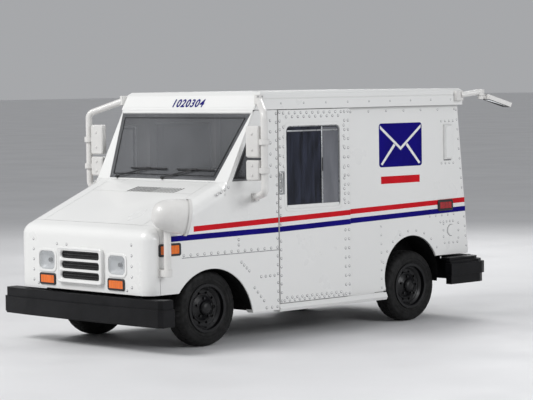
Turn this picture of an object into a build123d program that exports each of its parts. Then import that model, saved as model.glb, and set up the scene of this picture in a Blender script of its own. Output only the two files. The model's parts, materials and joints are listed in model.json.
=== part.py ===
from build123d import *
import math
import os

# Right-hand-drive mail delivery van. Millimetres, +Z up, the nose faces -Y, +X is the vehicle's left side.
# Every length along the vehicle is written as the distance behind the front axle; put() moves it to the row frame.

# ---- driving dimensions ----
FRONT_AXLE_Y = -1419.0
WHEELBASE = 2553.0
WHEEL_X = 697.0
TYRE_R = 326.0
RIM_R = 208.0
SPINDLE_R = 18.0
RUN = 0.05
KINGPIN_X = 612.0
KINGPIN_R = 14.0
STEER_ARM = 130.0

CAB_HALF = 868.0
CARGO_HALF = 820.0
SKIN = 6.0
NOSE_Y = -720.0
NOSE_R = 110.0
NOSE_Z = 1005.0
HOOD_SLOPE = 0.4254
FASCIA_BOTTOM = 484.0
BELT_Z = 1390.0
ROOF_UNDER = 1990.0
ROOF_TOP = 2150.0
ROOF_HALF = 874.0
CARGO_REAR_TOP = 3192.0
CARGO_REAR_LEAN = 0.102
REAR_BOTTOM = 586.0
FLOOR_CAB = 500.0
FLOOR_CARGO = 690.0

WS_BOTTOM = (189.0, 1397.0)
WS_ANGLE = 27.4
WS_HEIGHT = 641.0
WS_HALF_BOTTOM = 699.0
WS_HALF_TOP = 848.0

DOOR_FRONT = 789.0
DOOR_REAR = 1678.0
DOOR_BOTTOM = 309.0
DOOR_TOP = 1988.0
DOOR_INNER = 832.0

FRONT_ARCH = (-15.0, 192.0, 475.0)
REAR_ARCH = (2540.0, 424.0, 372.0)

HOOD_HALF = 658.0
HOOD_FRONT = -588.0
HOOD_REAR = -42.0

MIRROR_TUBE = (1160.0, 338.0)
MIRROR_TUBE_R = 30.0
POST = (940.0, -572.0)
BOWL_BLUNTNESS = 0.72
POST_R = 30.0
REAR_MIRROR_PIN = (985.0, 3345.0)
CARRIAGE = (3120.0, 1895.0)
COLUMN_TOP = (-400.0, 760.0, 1190.0)
COLUMN_ANGLE = 35.0


# ---- helpers ----
def box(x0, x1, y0, y1, z0, z1):
    size = (abs(x1 - x0), abs(y1 - y0), abs(z1 - z0))
    return Pos((x0 + x1) / 2, (y0 + y1) / 2, (z0 + z1) / 2) * Box(*size)


def yz_prism(points, x0, x1):
    face = make_face(Plane.YZ.offset(x0) * Polyline(*points, close=True))
    return extrude(face, amount=x1 - x0, dir=(1, 0, 0))


def xz_prism(points, y0, y1):
    flat = [(x, y0, z) for x, z in points]
    return extrude(make_face(Polyline(*flat, close=True)), amount=y1 - y0, dir=(0, 1, 0))


def xy_prism(points, z0, z1):
    flat = [(x, y, z0) for x, y in points]
    return extrude(make_face(Polyline(*flat, close=True)), amount=z1 - z0, dir=(0, 0, 1))


def rod(p0, p1, r):
    a = Vector(*p0)
    b = Vector(*p1)
    plane = Plane(origin=(a + b) * 0.5, z_dir=(b - a).normalized())
    return plane * Cylinder(r, (b - a).length)


def swing(shape):
    return mirror(shape, about=Plane.YZ)


def both(shape):
    return [shape, swing(shape)]


def join(parts):
    whole = parts[0]
    for other in parts[1:]:
        whole = whole + other
    return whole


def turned(profile, x_axis_y, x_axis_z):
    flat = [(x, r, 0) for x, r in profile]
    ring = revolve(make_face(Polyline(*flat, close=True)), axis=Axis.X)
    return Pos(0, x_axis_y, x_axis_z) * ring


def solids_of(thing):
    if isinstance(thing, (list, tuple)):
        found = []
        for item in thing:
            found += solids_of(item)
        return found
    return list(thing.solids())


def put(name, thing):
    solids = [Pos(0, FRONT_AXLE_Y, 0) * s for s in solids_of(thing)]
    shape = solids[0] if len(solids) == 1 else Compound(children=solids)
    export_step(shape, "parts/" + name + ".step")
    box_of = shape.bounding_box()
    low = tuple(round(v, 1) for v in box_of.min)
    high = tuple(round(v, 1) for v in box_of.max)
    print(name, len(solids), round(sum(s.volume for s in solids) / 1e6, 2), low, high)


def hood_z(y):
    return NOSE_Z + (y - NOSE_Y) * HOOD_SLOPE


def rear_y(z):
    return CARGO_REAR_TOP + (2000.0 - z) * CARGO_REAR_LEAN


def arch_cut(arch, x0, x1, grow=0.0):
    y, z, r = arch
    return rod((x0, y, z), (x1, y, z), r + grow)


def windshield_plane(out):
    c = math.cos(math.radians(WS_ANGLE))
    s = math.sin(math.radians(WS_ANGLE))
    origin = (0, WS_BOTTOM[0] - c * out, WS_BOTTOM[1] + s * out)
    return Plane(origin=origin, x_dir=(1, 0, 0), z_dir=(0, -c, s))


def on_windshield(points, out, depth):
    plane = windshield_plane(out)
    face = make_face(plane * Polyline(*points, close=True))
    return extrude(face, amount=depth, dir=tuple(plane.z_dir * -1))


# ---- the smooth nose shell, later cut into fascia, fenders, cowl and hood ----
def nose_block(inset):
    half = CAB_HALF - inset
    front = NOSE_Y + inset
    drop = inset * math.sqrt(1 + HOOD_SLOPE ** 2)
    top = hood_z(front) - drop
    end = 775.0
    outline = [(front, 150), (front, top), (end, top + (end - front) * HOOD_SLOPE), (end, 150)]
    block = yz_prism(outline, -half, half)
    picked = []
    for edge in block.edges():
        mid = edge.center()
        side = abs(abs(mid.X) - half) < 1
        if side and abs(mid.Y - front) < 1:
            picked.append(edge)
        elif side and abs(mid.Y - (front + end) / 2) < 1 and mid.Z > 900:
            picked.append(edge)
        elif abs(mid.X) < 1 and abs(mid.Y - front) < 1 and mid.Z > 900:
            picked.append(edge)
    return fillet(picked, NOSE_R - inset)


def nose_shell():
    shell = nose_block(0) - nose_block(SKIN)
    shell = shell & box(-900, 900, -800, 150, FASCIA_BOTTOM, 1600)
    return shell - arch_cut(FRONT_ARCH, -900, 900)


def lamp_holes():
    cuts = []
    for side in (-1, 1):
        x = side * 466
        cuts.append(box(x - 112, x + 112, -760, -700, 640, 806))
        x = side * 458
        cuts.append(box(x - 98, x + 98, -760, -700, 522, 603))
    cuts.append(box(-268, 268, -760, -700, 552, 828))
    return cuts


def fascia(shell):
    face = shell & box(-900, 900, -800, -595, FASCIA_BOTTOM, 1300)
    for cut in lamp_holes():
        face = face - cut
    lip = box(-750, 750, NOSE_Y + 2, -640, FASCIA_BOTTOM, FASCIA_BOTTOM + 5)
    return face + lip


def hood(shell):
    panel = shell & box(-HOOD_HALF, HOOD_HALF, HOOD_FRONT, HOOD_REAR, 900, 1500)
    ribs = []
    for x in (-400, 0, 400):
        y0 = HOOD_FRONT + 60
        y1 = HOOD_REAR - 60
        points = [(y0, hood_z(y0) - 26), (y1, hood_z(y1) - 26), (y1, hood_z(y1) - 5), (y0, hood_z(y0) - 5)]
        ribs.append(yz_prism(points, x - 15, x + 15))
    return join([panel] + ribs)


def vent_slots():
    slots = []
    for i in range(16):
        x = -196 + i * 40
        points = [(x, -30), (x + 16, -30), (x + 60, 34), (x + 44, 34)]
        slots.append(xy_prism(points, 1200, 1400))
    return slots


def cowl_panel(shell):
    panel = shell & box(-HOOD_HALF, HOOD_HALF, HOOD_REAR + 3, 150, 1100, 1600)
    for slot in vent_slots():
        panel = panel - slot
    y0 = HOOD_REAR + 3
    gutter = yz_prism([(y0, hood_z(y0) - 60), (150, hood_z(150) - 60), (150, hood_z(150) - 5),
                       (145, hood_z(145) - 5), (145, hood_z(145) - 55), (y0, hood_z(y0) - 55)], -640, 640)
    return panel + gutter


def quarter_outline(grow):
    return [(232 - grow, 1392 - grow), (655 + grow, 1392 - grow), (655 + grow, 1852 + grow),
            (470 - grow * 0.3, 1852 + grow)]


def cab_side(shell):
    nose = shell & box(0, 900, -592, 150, FASCIA_BOTTOM, 1600)
    hole = box(-10, HOOD_HALF + 3, -600, 160, 800, 1600)
    nose = nose - hole
    x0 = CAB_HALF - SKIN
    slope = math.tan(math.radians(WS_ANGLE))
    edge0 = WS_BOTTOM[0] + 12
    top_y = edge0 + (ROOF_UNDER - WS_BOTTOM[1]) * slope
    outline = [(150, 300), (150, 1370), (172, 1370), (edge0, WS_BOTTOM[1]), (top_y, ROOF_UNDER),
               (DOOR_FRONT - 14, ROOF_UNDER), (DOOR_FRONT - 14, 254), (420, 254)]
    skin = yz_prism(outline, x0, CAB_HALF)
    skin = skin - arch_cut(FRONT_ARCH, 0, 900)
    skin = skin - yz_prism(quarter_outline(0), 700, 900)
    jamb_y = DOOR_FRONT - 14
    jamb = box(812, x0, jamb_y - SKIN, jamb_y, 254, ROOF_UNDER)
    belt = box(820, x0, 240, jamb_y - SKIN, 1372, 1380)
    y, z, r = FRONT_ARCH
    lip = arch_cut(FRONT_ARCH, 790, x0, SKIN) - arch_cut(FRONT_ARCH, 780, 900)
    lip = lip & box(700, 900, -392, 470, 262, 700)
    under = box(800, x0, y + 471, jamb_y - SKIN, 254, 262)
    return join([nose, skin, jamb, belt, lip, under])


def cab_glass():
    half0 = WS_HALF_BOTTOM - 1
    half1 = WS_HALF_TOP - 1
    screen = on_windshield([(-half0, 1), (half0, 1), (half1, WS_HEIGHT - 1), (-half1, WS_HEIGHT - 1)], -4, 6)
    quarter = yz_prism(quarter_outline(-0.4), CAB_HALF - 10, CAB_HALF - 4)
    return [screen] + both(quarter)


def windshield_frame():
    bottom = -20.0
    top = WS_HEIGHT + 22.0
    outer = [(-861, bottom), (861, bottom), (861, top), (-861, top)]
    inner = [(-WS_HALF_BOTTOM, 0), (WS_HALF_BOTTOM, 0), (WS_HALF_TOP - 0.2, WS_HEIGHT), (-WS_HALF_TOP + 0.2, WS_HEIGHT)]
    ring = on_windshield(outer, 0, 34)
    ring = ring - on_windshield(inner, 20, 80)
    return ring


# ---- roof and cargo body ----
def roof():
    slope = math.tan(math.radians(WS_ANGLE))
    y0 = WS_BOTTOM[0] + (ROOF_UNDER + 4 - WS_BOTTOM[1]) * slope - 8
    y1 = y0 + (2118 - ROOF_UNDER) * slope
    outline = [(y0, ROOF_UNDER + 4), (y1, 2118), (y1 + 40, ROOF_TOP), (3178, ROOF_TOP), (3206, 2128),
               (3206, ROOF_UNDER + 4)]
    shell = yz_prism(outline, -ROOF_HALF, ROOF_HALF)
    top_edges = []
    for edge in shell.edges():
        mid = edge.center()
        if abs(abs(mid.X) - ROOF_HALF) < 1 and abs(mid.Z - ROOF_TOP) < 1:
            top_edges.append(edge)
    shell = chamfer(top_edges, 22)
    shell = shell - box(-806, 806, y1 + 55, 3160, 1900, ROOF_TOP - 6)
    for side in (-1, 1):
        lane = box(side * 818, side * 862, y0 + 90, 3180, 1900, ROOF_TOP - 30)
        shell = shell - lane
        groove = box(side * (ROOF_HALF - 3), side * (ROOF_HALF + 5), y1 + 60, 3206, 2084, 2092)
        shell = shell - groove
    ribs = [box(-806, 806, y, y + 30, ROOF_TOP - 40, ROOF_TOP - 6) for y in (1000, 1500, 2000, 2500)]
    return join([shell] + ribs)


def cargo_side(filler):
    front = 1600.0
    x0 = CARGO_HALF - SKIN
    outline = [(front, 306), (2140, 306), (2880, REAR_BOTTOM), (rear_y(REAR_BOTTOM) - 12, REAR_BOTTOM),
               (rear_y(620), 620), (rear_y(ROOF_UNDER + 2), ROOF_UNDER + 2), (front, ROOF_UNDER + 2)]
    skin = yz_prism(outline, x0, CARGO_HALF)
    cut = arch_cut(REAR_ARCH, 0, 900)
    below = box(0, 900, REAR_ARCH[0], REAR_ARCH[0] + 340, 200, REAR_BOTTOM)
    skin = skin - cut - below
    lip = arch_cut(REAR_ARCH, 735, x0, SKIN) - arch_cut(REAR_ARCH, 700, 900)
    lip = lip & box(700, 900, 2100, 2900, 306, FLOOR_CARGO - 1)
    lip = lip - box(700, 900, REAR_ARCH[0], 2950, 200, REAR_BOTTOM)
    post = box(760, x0, front, front + 6, FLOOR_CAB + 8, ROOF_UNDER + 2)
    hem = box(780, x0, 2866, 3290, REAR_BOTTOM, REAR_BOTTOM + 6)
    parts = [skin, lip, post, hem]
    vent = box(CARGO_HALF - 1, CARGO_HALF + 24, 2990, 3105, 1485, 1810)
    vent = chamfer(vent.faces().sort_by(Axis.X)[-1].edges(), 8)
    parts.append(vent)
    if filler:
        parts.append(rod((CARGO_HALF - 1, 3090, 815), (CARGO_HALF + 9, 3090, 815), 52))
    return join(parts)


def sill():
    section = [(790, 236), (866, 236), (880, 262), (862, 303), (855, 303), (855, 274), (828, 274),
               (828, 303), (820, 303), (820, 262), (790, 262)]
    return xz_prism(section, DOOR_FRONT - 12, 2142)


def step_well():
    well = box(640, 812, 800, 1590, 330, FLOOR_CAB)
    return well - box(646, 830, 806, 1584, 336, FLOOR_CAB + 10)


def floor_pan():
    cab = box(-810, 810, 430, 1700, FLOOR_CAB, FLOOR_CAB + 6)
    cargo = box(-810, 810, 1694, 3278, FLOOR_CARGO, FLOOR_CARGO + 6)
    riser = box(-810, 810, 1694, 1700, FLOOR_CAB, FLOOR_CARGO + 6)
    wall = box(-856, 856, 424, 430, FLOOR_CAB, 1368)
    parts = [cab, cargo, riser, wall]
    for y in (1950, 2250, 2860, 3150):
        parts.append(box(-600, 600, y, y + 40, FLOOR_CARGO - 40, FLOOR_CARGO))
    for x in (-560, -270):
        parts.append(box(x, x + 30, 850, 1500, FLOOR_CAB + 5, FLOOR_CAB + 24))
    for x in (-436, -336):
        ear = box(x, x + 12, 428, 530, 968, 1002)
        parts.append(ear - rod((x - 5, 510, 985), (x + 20, 510, 985), 12 + RUN))
    pan = join(parts)
    arch_y, arch_z, arch_r = REAR_ARCH
    for side in (-1, 1):
        pan = pan - box(side * 554, side * 820, arch_y - 270, arch_y + 270, 600, 720)
        tub = arch_cut(REAR_ARCH, side * 560, side * 813.8, SKIN) - arch_cut(REAR_ARCH, side * 500, side * 900)
        wall = arch_cut(REAR_ARCH, side * 554, side * 560, SKIN)
        pan = pan + ((tub + wall) & box(-900, 900, 2100, 3000, FLOOR_CARGO, 900))
    for side in (-1, 1):
        pan = pan - box(side * 646, side * 900, 806, 1584, FLOOR_CAB - 5, FLOOR_CAB + 10)
        house = box(side * 424, side * 430, -560, 430, 520, 1000)
        shelf = box(side * 430, side * 856, -560, 430, 700, 706)
        pan = pan + house + shelf
    return pan


def partition():
    panel = box(-808, 808, 1640, 1645, FLOOR_CAB + 7, 1985)
    return panel - box(-80, 520, 1600, 1700, 760, 1860)


def rear_frame():
    outline = [(rear_y(1988) - 42, 1988), (rear_y(1988) - 1, 1988), (rear_y(640) - 1, 640),
               (rear_y(REAR_BOTTOM) - 14, REAR_BOTTOM + 6.5), (rear_y(REAR_BOTTOM) - 42, REAR_BOTTOM + 6.5)]
    frame = yz_prism(outline, -813.5, 813.5)
    frame = frame - box(-662, 662, 3000, 3400, 700, 1925)
    hollow = [(rear_y(1900) - 42, 1900), (rear_y(1900) - 8, 1900), (rear_y(720) - 8, 720), (rear_y(720) - 42, 720)]
    for side in (-1, 1):
        frame = frame - yz_prism(hollow, min(side * 672, side * 806), max(side * 672, side * 806))
    return frame


def rear_track():
    channel = box(664, 700, 1830, 3140, 1866, 1924) - box(660, 694, 1836, 3150, 1872, 1918)
    parts = [channel]
    for y in (1850, 2400, 3060):
        parts.append(box(699, 813.5, y, y + 40, 1925 - 12, 1924))
    return join(parts)


def side_track():
    rail = box(848, 861.8, 770, 2570, 2012, 2022)
    hangers = [box(855, 861.8, y, y + 30, 2022, ROOF_TOP - 31) for y in (775, 2535)]
    return join([rail] + hangers)


# ---- doors ----
def side_door():
    skin = box(DOOR_INNER, CAB_HALF, DOOR_FRONT, DOOR_REAR, DOOR_BOTTOM, DOOR_TOP)
    skin = skin - box(DOOR_INNER - 1, CAB_HALF - SKIN, DOOR_FRONT + 36, DOOR_REAR - 36, DOOR_BOTTOM + 36, 1075)
    skin = skin - box(DOOR_INNER - 1, CAB_HALF - SKIN, DOOR_FRONT + 12, DOOR_FRONT + 50, 1120, 1240)
    skin = skin - box(DOOR_INNER - 1, CAB_HALF - SKIN, DOOR_REAR - 90, DOOR_REAR - 12, 1120, 1900)
    skin = skin - box(800, 900, 869, 1562, 1113, 1858)
    skin = skin - box(CAB_HALF - 9, 900, DOOR_FRONT + 8, DOOR_FRONT + 62, 1262, 1449)
    grip = box(CAB_HALF - 10, CAB_HALF - 1, DOOR_FRONT + 26, DOOR_FRONT + 40, 1290, 1420)
    parts = [skin, grip]
    for y in (950, 1500):
        parts.append(box(DOOR_INNER, DOOR_INNER + 10, y - 25, y + 25, DOOR_TOP - 2, 2060))
        parts.append(rod((DOOR_INNER + 9, y, 2045), (858, y, 2045), 22.4))
    for y in (830, 1180):
        parts.append(box(837, 846, y, y + 60, 282, DOOR_BOTTOM + 4))
    return join(parts)


def door_glass():
    return box(846, 851, 869.2, 1561.8, 1113.2, 1857.8)


def rear_door():
    low = 706.0
    high = 1915.0
    outer = [(rear_y(low) - 13, low), (rear_y(high) - 13, high), (rear_y(high) - 22, high), (rear_y(low) - 22, low)]
    slab = yz_prism(outer, -655, 655)
    parts = [slab]
    pitch = 80.0
    count = 14
    for i in range(count):
        z = low + 30 + i * pitch
        top = z + 58
        slat = [(rear_y(z) - 14, z), (rear_y(z) - 6, z + 8), (rear_y(top) - 6, top - 8), (rear_y(top) - 14, top)]
        parts.append(yz_prism(slat, -652, 652))
    y, z = CARRIAGE
    for x in (-600, 540):
        parts.append(box(x, x + 60, y - 22, rear_y(z) - 20, z - 20, z + 18))
    parts.append(box(-120, 120, rear_y(700) - 20, rear_y(700) + 14, 712, 726))
    door = join(parts)
    return door - rod((-700, y, z), (700, y, z), 10 + RUN)


def rear_carriage():
    y, z = CARRIAGE
    shaft = rod((-688, y, z), (688, y, z), 10)
    wheels = [rod((side * 668, y, z), (side * 690, y, z), 21) for side in (-1, 1)]
    return join([shaft] + wheels)


# ---- lamps, grille and bumpers ----
def grille():
    body = box(-300, 300, -756, -720.3, 544, 852)
    body = chamfer(body.faces().sort_by(Axis.Y)[0].edges(), 10)
    for z in (564, 656, 748):
        body = body - box(-258, 258, -800, -700, z, z + 76)
    screen = box(-266, 266, -720.2, -716, 554, 826)
    for i in range(22):
        z = 560 + i * 11.8
        screen = screen - box(-255, 255, -730, -700, z, z + 7.5)
    return body + screen


def headlights():
    lens = box(466 - 111.5, 466 + 111.5, -716, -709, 640.5, 805.5)
    bowl = box(466 - 111.5, 466 + 111.5, -709, -640, 640.5, 805.5) - box(466 - 105, 466 + 105, -720, -650, 647, 799)
    bulb = rod((466, -652, 724), (466, -690, 724), 16)
    lamp = join([lens, bowl, bulb])
    return both(lamp)


def amber_lamps():
    turn = box(458 - 97.5, 458 + 97.5, -728, -690, 522.5, 602.5)
    marker = box(CAB_HALF + 0.2, CAB_HALF + 4, -598, -374, 812, 898)
    return both(turn) + both(marker)


def red_lamps():
    marker = box(CARGO_HALF + 0.2, CARGO_HALF + 8, 2915, 3100, 1014, 1096)
    z0 = 860.0
    z1 = 1080.0
    tail = yz_prism([(rear_y(z0) - 0.8, z0), (rear_y(z0) + 12, z0), (rear_y(z1) + 12, z1), (rear_y(z1) - 0.8, z1)],
                    690, 790)
    return both(marker) + both(tail)


def bumper_outline(grow, back):
    return [(-1045 - grow, back), (-1045 - grow, -722 - grow), (-1010 - grow * 0.7, -748 - grow),
            (-700, -768 - grow), (0, -778 - grow), (700, -768 - grow), (1010 + grow * 0.7, -748 - grow),
            (1045 + grow, -722 - grow), (1045 + grow, back)]


def front_bumper():
    back = -612.0
    upper = xy_prism(bumper_outline(0, back), 384, 460) - xy_prism(bumper_outline(-8, back + 50), 300, 452)
    lower = xy_prism(bumper_outline(12, back + 6), 250, 384) - xy_prism(bumper_outline(4, back + 60), 200, 376)
    foot = xy_prism(bumper_outline(6, back + 6), 236, 250) - xy_prism(bumper_outline(-12, back + 60), 200, 300)
    arms = [box(x, x + 50, -772, -600, 390, 448) for x in (-405, 355)]
    whole = join([upper, lower, foot] + arms)
    return whole


def rear_outline(inset, back):
    x = 960.0 - inset
    y = 3457.0 - inset
    r = 90.0
    return [(x, back), (x, y - r), (x - 0.29 * r, y - 0.29 * r), (x - r, y), (-x + r, y),
            (-x + 0.29 * r, y - 0.29 * r), (-x, y - r), (-x, back)]


def rear_bumper():
    front = 2936.0
    main = xy_prism(rear_outline(0, front), 400, 512)
    cap = xy_prism(rear_outline(22, front + 10), 512, 536) + xy_prism(rear_outline(50, front + 30), 536, 562)
    lower = xy_prism(rear_outline(14, front + 10), 318, 400)
    body = join([main, cap, lower])
    body = body - xy_prism(rear_outline(80, 2900), 300, 540) - box(-790, 790, 2900, 3347, 300, 600)
    for side in (-1, 1):
        hole = rod((side * 89, 3400, 360), (side * 89, 3500, 360), 5)
        body = body - hole
    brackets = [box(x, x + 50, 3331, 3382, 395, 490) for x in (-405, 355)]
    return join([body] + brackets)


# ---- chassis ----
def frame_rails():
    parts = []
    for side in (-1, 1):
        rail = box(side * 350, side * 410, -600, 3330, 385, 495)
        rail = rail - box(side * 340, side * 405, -590, 3320, 390, 490)
        parts.append(rail)
    for y in (-598, 940, 1300, 2080, 3000, 3290):
        member = box(-406, 406, y, y + 38, 400, 480) - box(-345, 345, y + 5, y + 50, 405, 475)
        if 900 < y < WHEELBASE:
            member = member - box(-70, 70, y - 10, y + 60, 300, 468)
        parts.append(member)
    for side in (-1, 1):
        for y in (1953, 3153):
            parts.append(box(side * 408, side * 545, y - 20, y + 20, 392, 420))
            parts.append(box(side * 541, side * 549, y - 20, y + 20, 352, 420))
            parts.append(box(side * 470, side * 478, y - 20, y + 20, 352, 420))
    return join(parts)


def leaf_springs():
    y = WHEELBASE
    leaves = []
    for half, low in ((600, 0), (430, 9), (260, 18)):
        top = []
        bottom = []
        for i in range(9):
            t = -1 + i / 4
            z = 272 - low + 104 * (t * half / 600) ** 2
            top.append((y + t * half, z + 9))
            bottom.append((y + t * half, z))
        leaves.append(yz_prism(top + bottom[::-1], 480, 539))
    clamp = box(480, 539, y - 45, y + 45, 244, 286)
    return both(join(leaves + [clamp]))


def rear_axle():
    z = TYRE_R
    tube = rod((-596, WHEELBASE, z), (596, WHEELBASE, z), 39)
    case = Pos(0, WHEELBASE, z) * Sphere(125)
    nose = rod((0, WHEELBASE - 190, z + 8), (0, WHEELBASE, z), 60)
    spindle = rod((-742, WHEELBASE, z), (742, WHEELBASE, z), SPINDLE_R)
    shaft = rod((0, 904, 420), (0, WHEELBASE - 180, z + 8), 32)
    return join([tube, case, nose, spindle]) + shaft


def suspension():
    beam = box(-345, 345, -60, 60, 296, 384.5)
    beam = beam - box(-335, 335, -52, 52, 290, 376)
    parts = [beam]
    for side in (-1, 1):
        x = side * KINGPIN_X
        parts.append(box(side * 290, side * 345, -50, 50, 196, 300))
        lower = xy_prism([(side * 300, -50), (side * 300, 50), (x, 20), (x, -20)], 198, 224)
        upper = xy_prism([(side * 411, -60), (side * 411, 60), (x, 20), (x, -20)], 428, 454)
        arm = lower + rod((x, 0, 196), (x, 0, 226), 27)
        top = upper + rod((x, 0, 426), (x, 0, 456), 27)
        parts.append(arm)
        parts.append(top)
    whole = join(parts)
    for side in (-1, 1):
        x = side * KINGPIN_X
        whole = whole - rod((x, 0, 180), (x, 0, 480), KINGPIN_R + RUN)
    return whole


def knuckle():
    x = KINGPIN_X
    z = TYRE_R
    pin = rod((x, 0, 188), (x, 0, 464), KINGPIN_R)
    block = box(x - 24, x + 24, -30, 30, 230, 422)
    spindle = rod((x, 0, z), (742, 0, z), SPINDLE_R)
    shoulder = rod((x, 0, z), (655, 0, z), 30)
    arm = box(x - 18, x + 18, 0, STEER_ARM + 18, 268, 290)
    return join([pin, block, spindle, shoulder, arm])


def tie_rod():
    z = 252.0
    bar = rod((-KINGPIN_X, STEER_ARM, z), (KINGPIN_X, STEER_ARM, z), 11)
    ends = [rod((side * KINGPIN_X, STEER_ARM, z - 14), (side * KINGPIN_X, STEER_ARM, z + 14), 16) for side in (-1, 1)]
    return join([bar] + ends)


def rim(y):
    profile = [(602, 184), (602, RIM_R), (610, RIM_R), (610, 190), (784, 190), (784, RIM_R), (792, RIM_R),
               (792, 184), (752, 184), (746, 176), (728, 150), (722, 110), (740, 78), (752, 62), (776, 56),
               (780, 40), (780, 0), (745, 0), (745, SPINDLE_R + RUN), (664, SPINDLE_R + RUN), (664, 44),
               (730, 50), (714, 106), (720, 154), (736, 178), (738, 184)]
    wheel = turned(profile, y, TYRE_R)
    for i in range(10):
        a = math.radians(36 * i)
        hole_y = y + 130 * math.cos(a)
        hole_z = TYRE_R + 130 * math.sin(a)
        wheel = wheel - rod((700, hole_y, hole_z), (760, hole_y, hole_z), 13)
    for i in range(5):
        a = math.radians(72 * i + 18)
        nut_y = y + 82 * math.cos(a)
        nut_z = TYRE_R + 82 * math.sin(a)
        wheel = wheel + rod((730, nut_y, nut_z), (756, nut_y, nut_z), 10)
    return wheel


def tyre(y):
    profile = [(614, 190.2), (614, 210), (600, 232), (598, 282), (610, 308), (632, TYRE_R), (762, TYRE_R),
               (784, 308), (796, 282), (794, 232), (780, 210), (780, 190.2), (764, 190.2), (764, 214), (777, 238),
               (779, 278), (768, 298), (752, 308), (642, 308), (626, 298), (615, 278), (617, 238), (630, 214),
               (630, 190.2)]
    return turned(profile, y, TYRE_R)


def powertrain():
    block = box(-210, 210, -400, 180, 420, 760) - box(-198, 198, -388, 168, 400, 748)
    pan = box(-180, 180, -340, 120, 386.5, 415) + box(-210, 210, -400, 180, 412, 420)
    mounts = box(-350, -210, -130, -60, 430, 470) + box(210, 350, -130, -60, 430, 470)
    cover = box(-90, 90, -380, 150, 760, 850)
    cleaner = rod((60, -180, 850), (60, -180, 920), 150)
    gearbox = box(-150, 150, 180, 420, 400, 640) - box(-138, 138, 190, 410, 390, 628)
    tail = rod((0, 419, 430), (0, 899, 430), 62)
    radiator = box(-300, 300, -640, -600, 500, 900)
    for x in (-280, 240):
        radiator = radiator + box(x, x + 40, -640, -562, 480, 500)
    fan = rod((0, -430, 640), (0, -404, 640), 190)
    hub = rod((0, -431, 640), (0, -399, 640), 40)
    return [join([block, pan, mounts, cover, cleaner, gearbox, tail, fan, hub]), radiator]


def exhaust():
    z = 340.0
    pipe = rod((-250, 260, z), (-250, 1880, z), 24)
    muffler = rod((-250, 1260, 318), (-250, 1760, 318), 66)
    side = rod((-250, 1866, z), (-640, 1890, z), 24)
    return join([pipe, muffler, side])


def fuel_tank():
    tank = box(-320, 320, 2800, 3260, 268, 383)
    return chamfer(tank.edges().filter_by(Axis.X), 20)


# ---- cab interior ----
def column_plane():
    a = math.radians(COLUMN_ANGLE)
    return Plane(origin=COLUMN_TOP, x_dir=(1, 0, 0), z_dir=(0, math.cos(a), math.sin(a)))


def dashboard():
    outline = [(432, 1060), (520, 1060), (600, 1200), (600, 1386), (250, 1386), (250, 1378), (432, 1378)]
    body = yz_prism(outline, -800, 800)
    body = body - yz_prism([(440, 1040), (512, 1040), (590, 1205), (590, 1376), (440, 1376)], -790, 790)
    cluster = box(-560, -240, 596, 630, 1250, 1380)
    plane = column_plane()
    tube = plane * (Pos(0, 0, -165) * Cylinder(36, 250))
    bore = plane * (Pos(0, 0, -135) * Cylinder(14 + RUN, 290))
    return join([body, cluster, tube]) - bore


def steering_wheel():
    plane = column_plane()
    ring = plane * Torus(185, 15)
    hub = plane * (Pos(0, 0, -14) * Cylinder(42, 36))
    shaft = plane * (Pos(0, 0, -130) * Cylinder(14, 240))
    spokes = []
    for angle in (90, 210, 330):
        spokes.append(plane * (Rot(0, 0, angle) * (Pos(105, 0, -4) * Box(150, 26, 10))))
    return join([ring, hub, shaft] + spokes)


def brake_pedal():
    pad = box(-420, -340, 520, 532, 640, 700)
    stalk = box(-386, -374, 500, 526, 650, 985)
    pivot = rod((-436, 510, 985), (-324, 510, 985), 12)
    return join([pad, stalk, pivot])


def mail_tray():
    body = box(60, 620, 620, 1180, 880, 1010) - box(66, 614, 626, 1174, 886, 1100)
    rails = [box(245, 251, 626, 1174, 886, 980), box(430, 436, 626, 1174, 886, 980)]
    legs = [box(120, 150, 700, 1100, 507, 880) - box(100, 170, 740, 1060, 540, 850),
            box(530, 560, 700, 1100, 507, 880) - box(510, 580, 740, 1060, 540, 850)]
    return join([body] + rails + legs)


def seat_base():
    pan = box(-615, -185, 960, 1400, 790, 806)
    post = box(-520, -280, 1040, 1330, 560, 792) - box(-508, -292, 1052, 1318, 540, 780)
    feet = box(-570, -230, 1000, 1380, 525.5, 562) - box(-520, -280, 1060, 1320, 500, 600)
    back = box(-600, -200, 1394, 1406, 790, 1400)
    return join([pan, post, feet, back])


def seat_cushion():
    pad = box(-622, -178, 950, 1390, 806.2, 900)
    return fillet(pad.edges().filter_by(Axis.Z), 50)


def seat_back():
    pad = box(-610, -190, 1300, 1393.8, 930, 1440)
    return fillet(pad.edges().filter_by(Axis.Y), 50)


# ---- wipers and mirrors ----
def wiper(x):
    plane = windshield_plane(0)
    pivot = plane * (Pos(x, 8, 12) * Cylinder(14, 18))
    angle = math.degrees(math.atan2(87, 390))
    arm = plane * (Pos(x, 8, 17) * Rot(0, 0, angle) * Pos(200, 0, 0) * Box(400, 12, 6))
    blade = plane * (Pos(x + 390, 95, 8) * Box(480, 12, 9))
    clip = plane * (Pos(x + 390, 95, 14) * Box(60, 16, 12))
    return join([pivot, arm, blade, clip])


def mirror_arm():
    x, y = MIRROR_TUBE
    r = MIRROR_TUBE_R
    start = Vector(896, 532, 2078)
    end = Vector(888, 489, 1247)
    path = FilletPolyline(start, (x, y, 1965), (x, y, 1296), end, radius=60)
    tube = sweep(Plane(origin=path @ 0, z_dir=path % 0) * Circle(r), path=path)
    top = box(ROOF_HALF + 0.2, 905, 500, 580, 2040, 2124)
    foot = box(CAB_HALF + 0.2, 896, 455, 525, 1212, 1282)
    return join([tube, top, foot])


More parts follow.
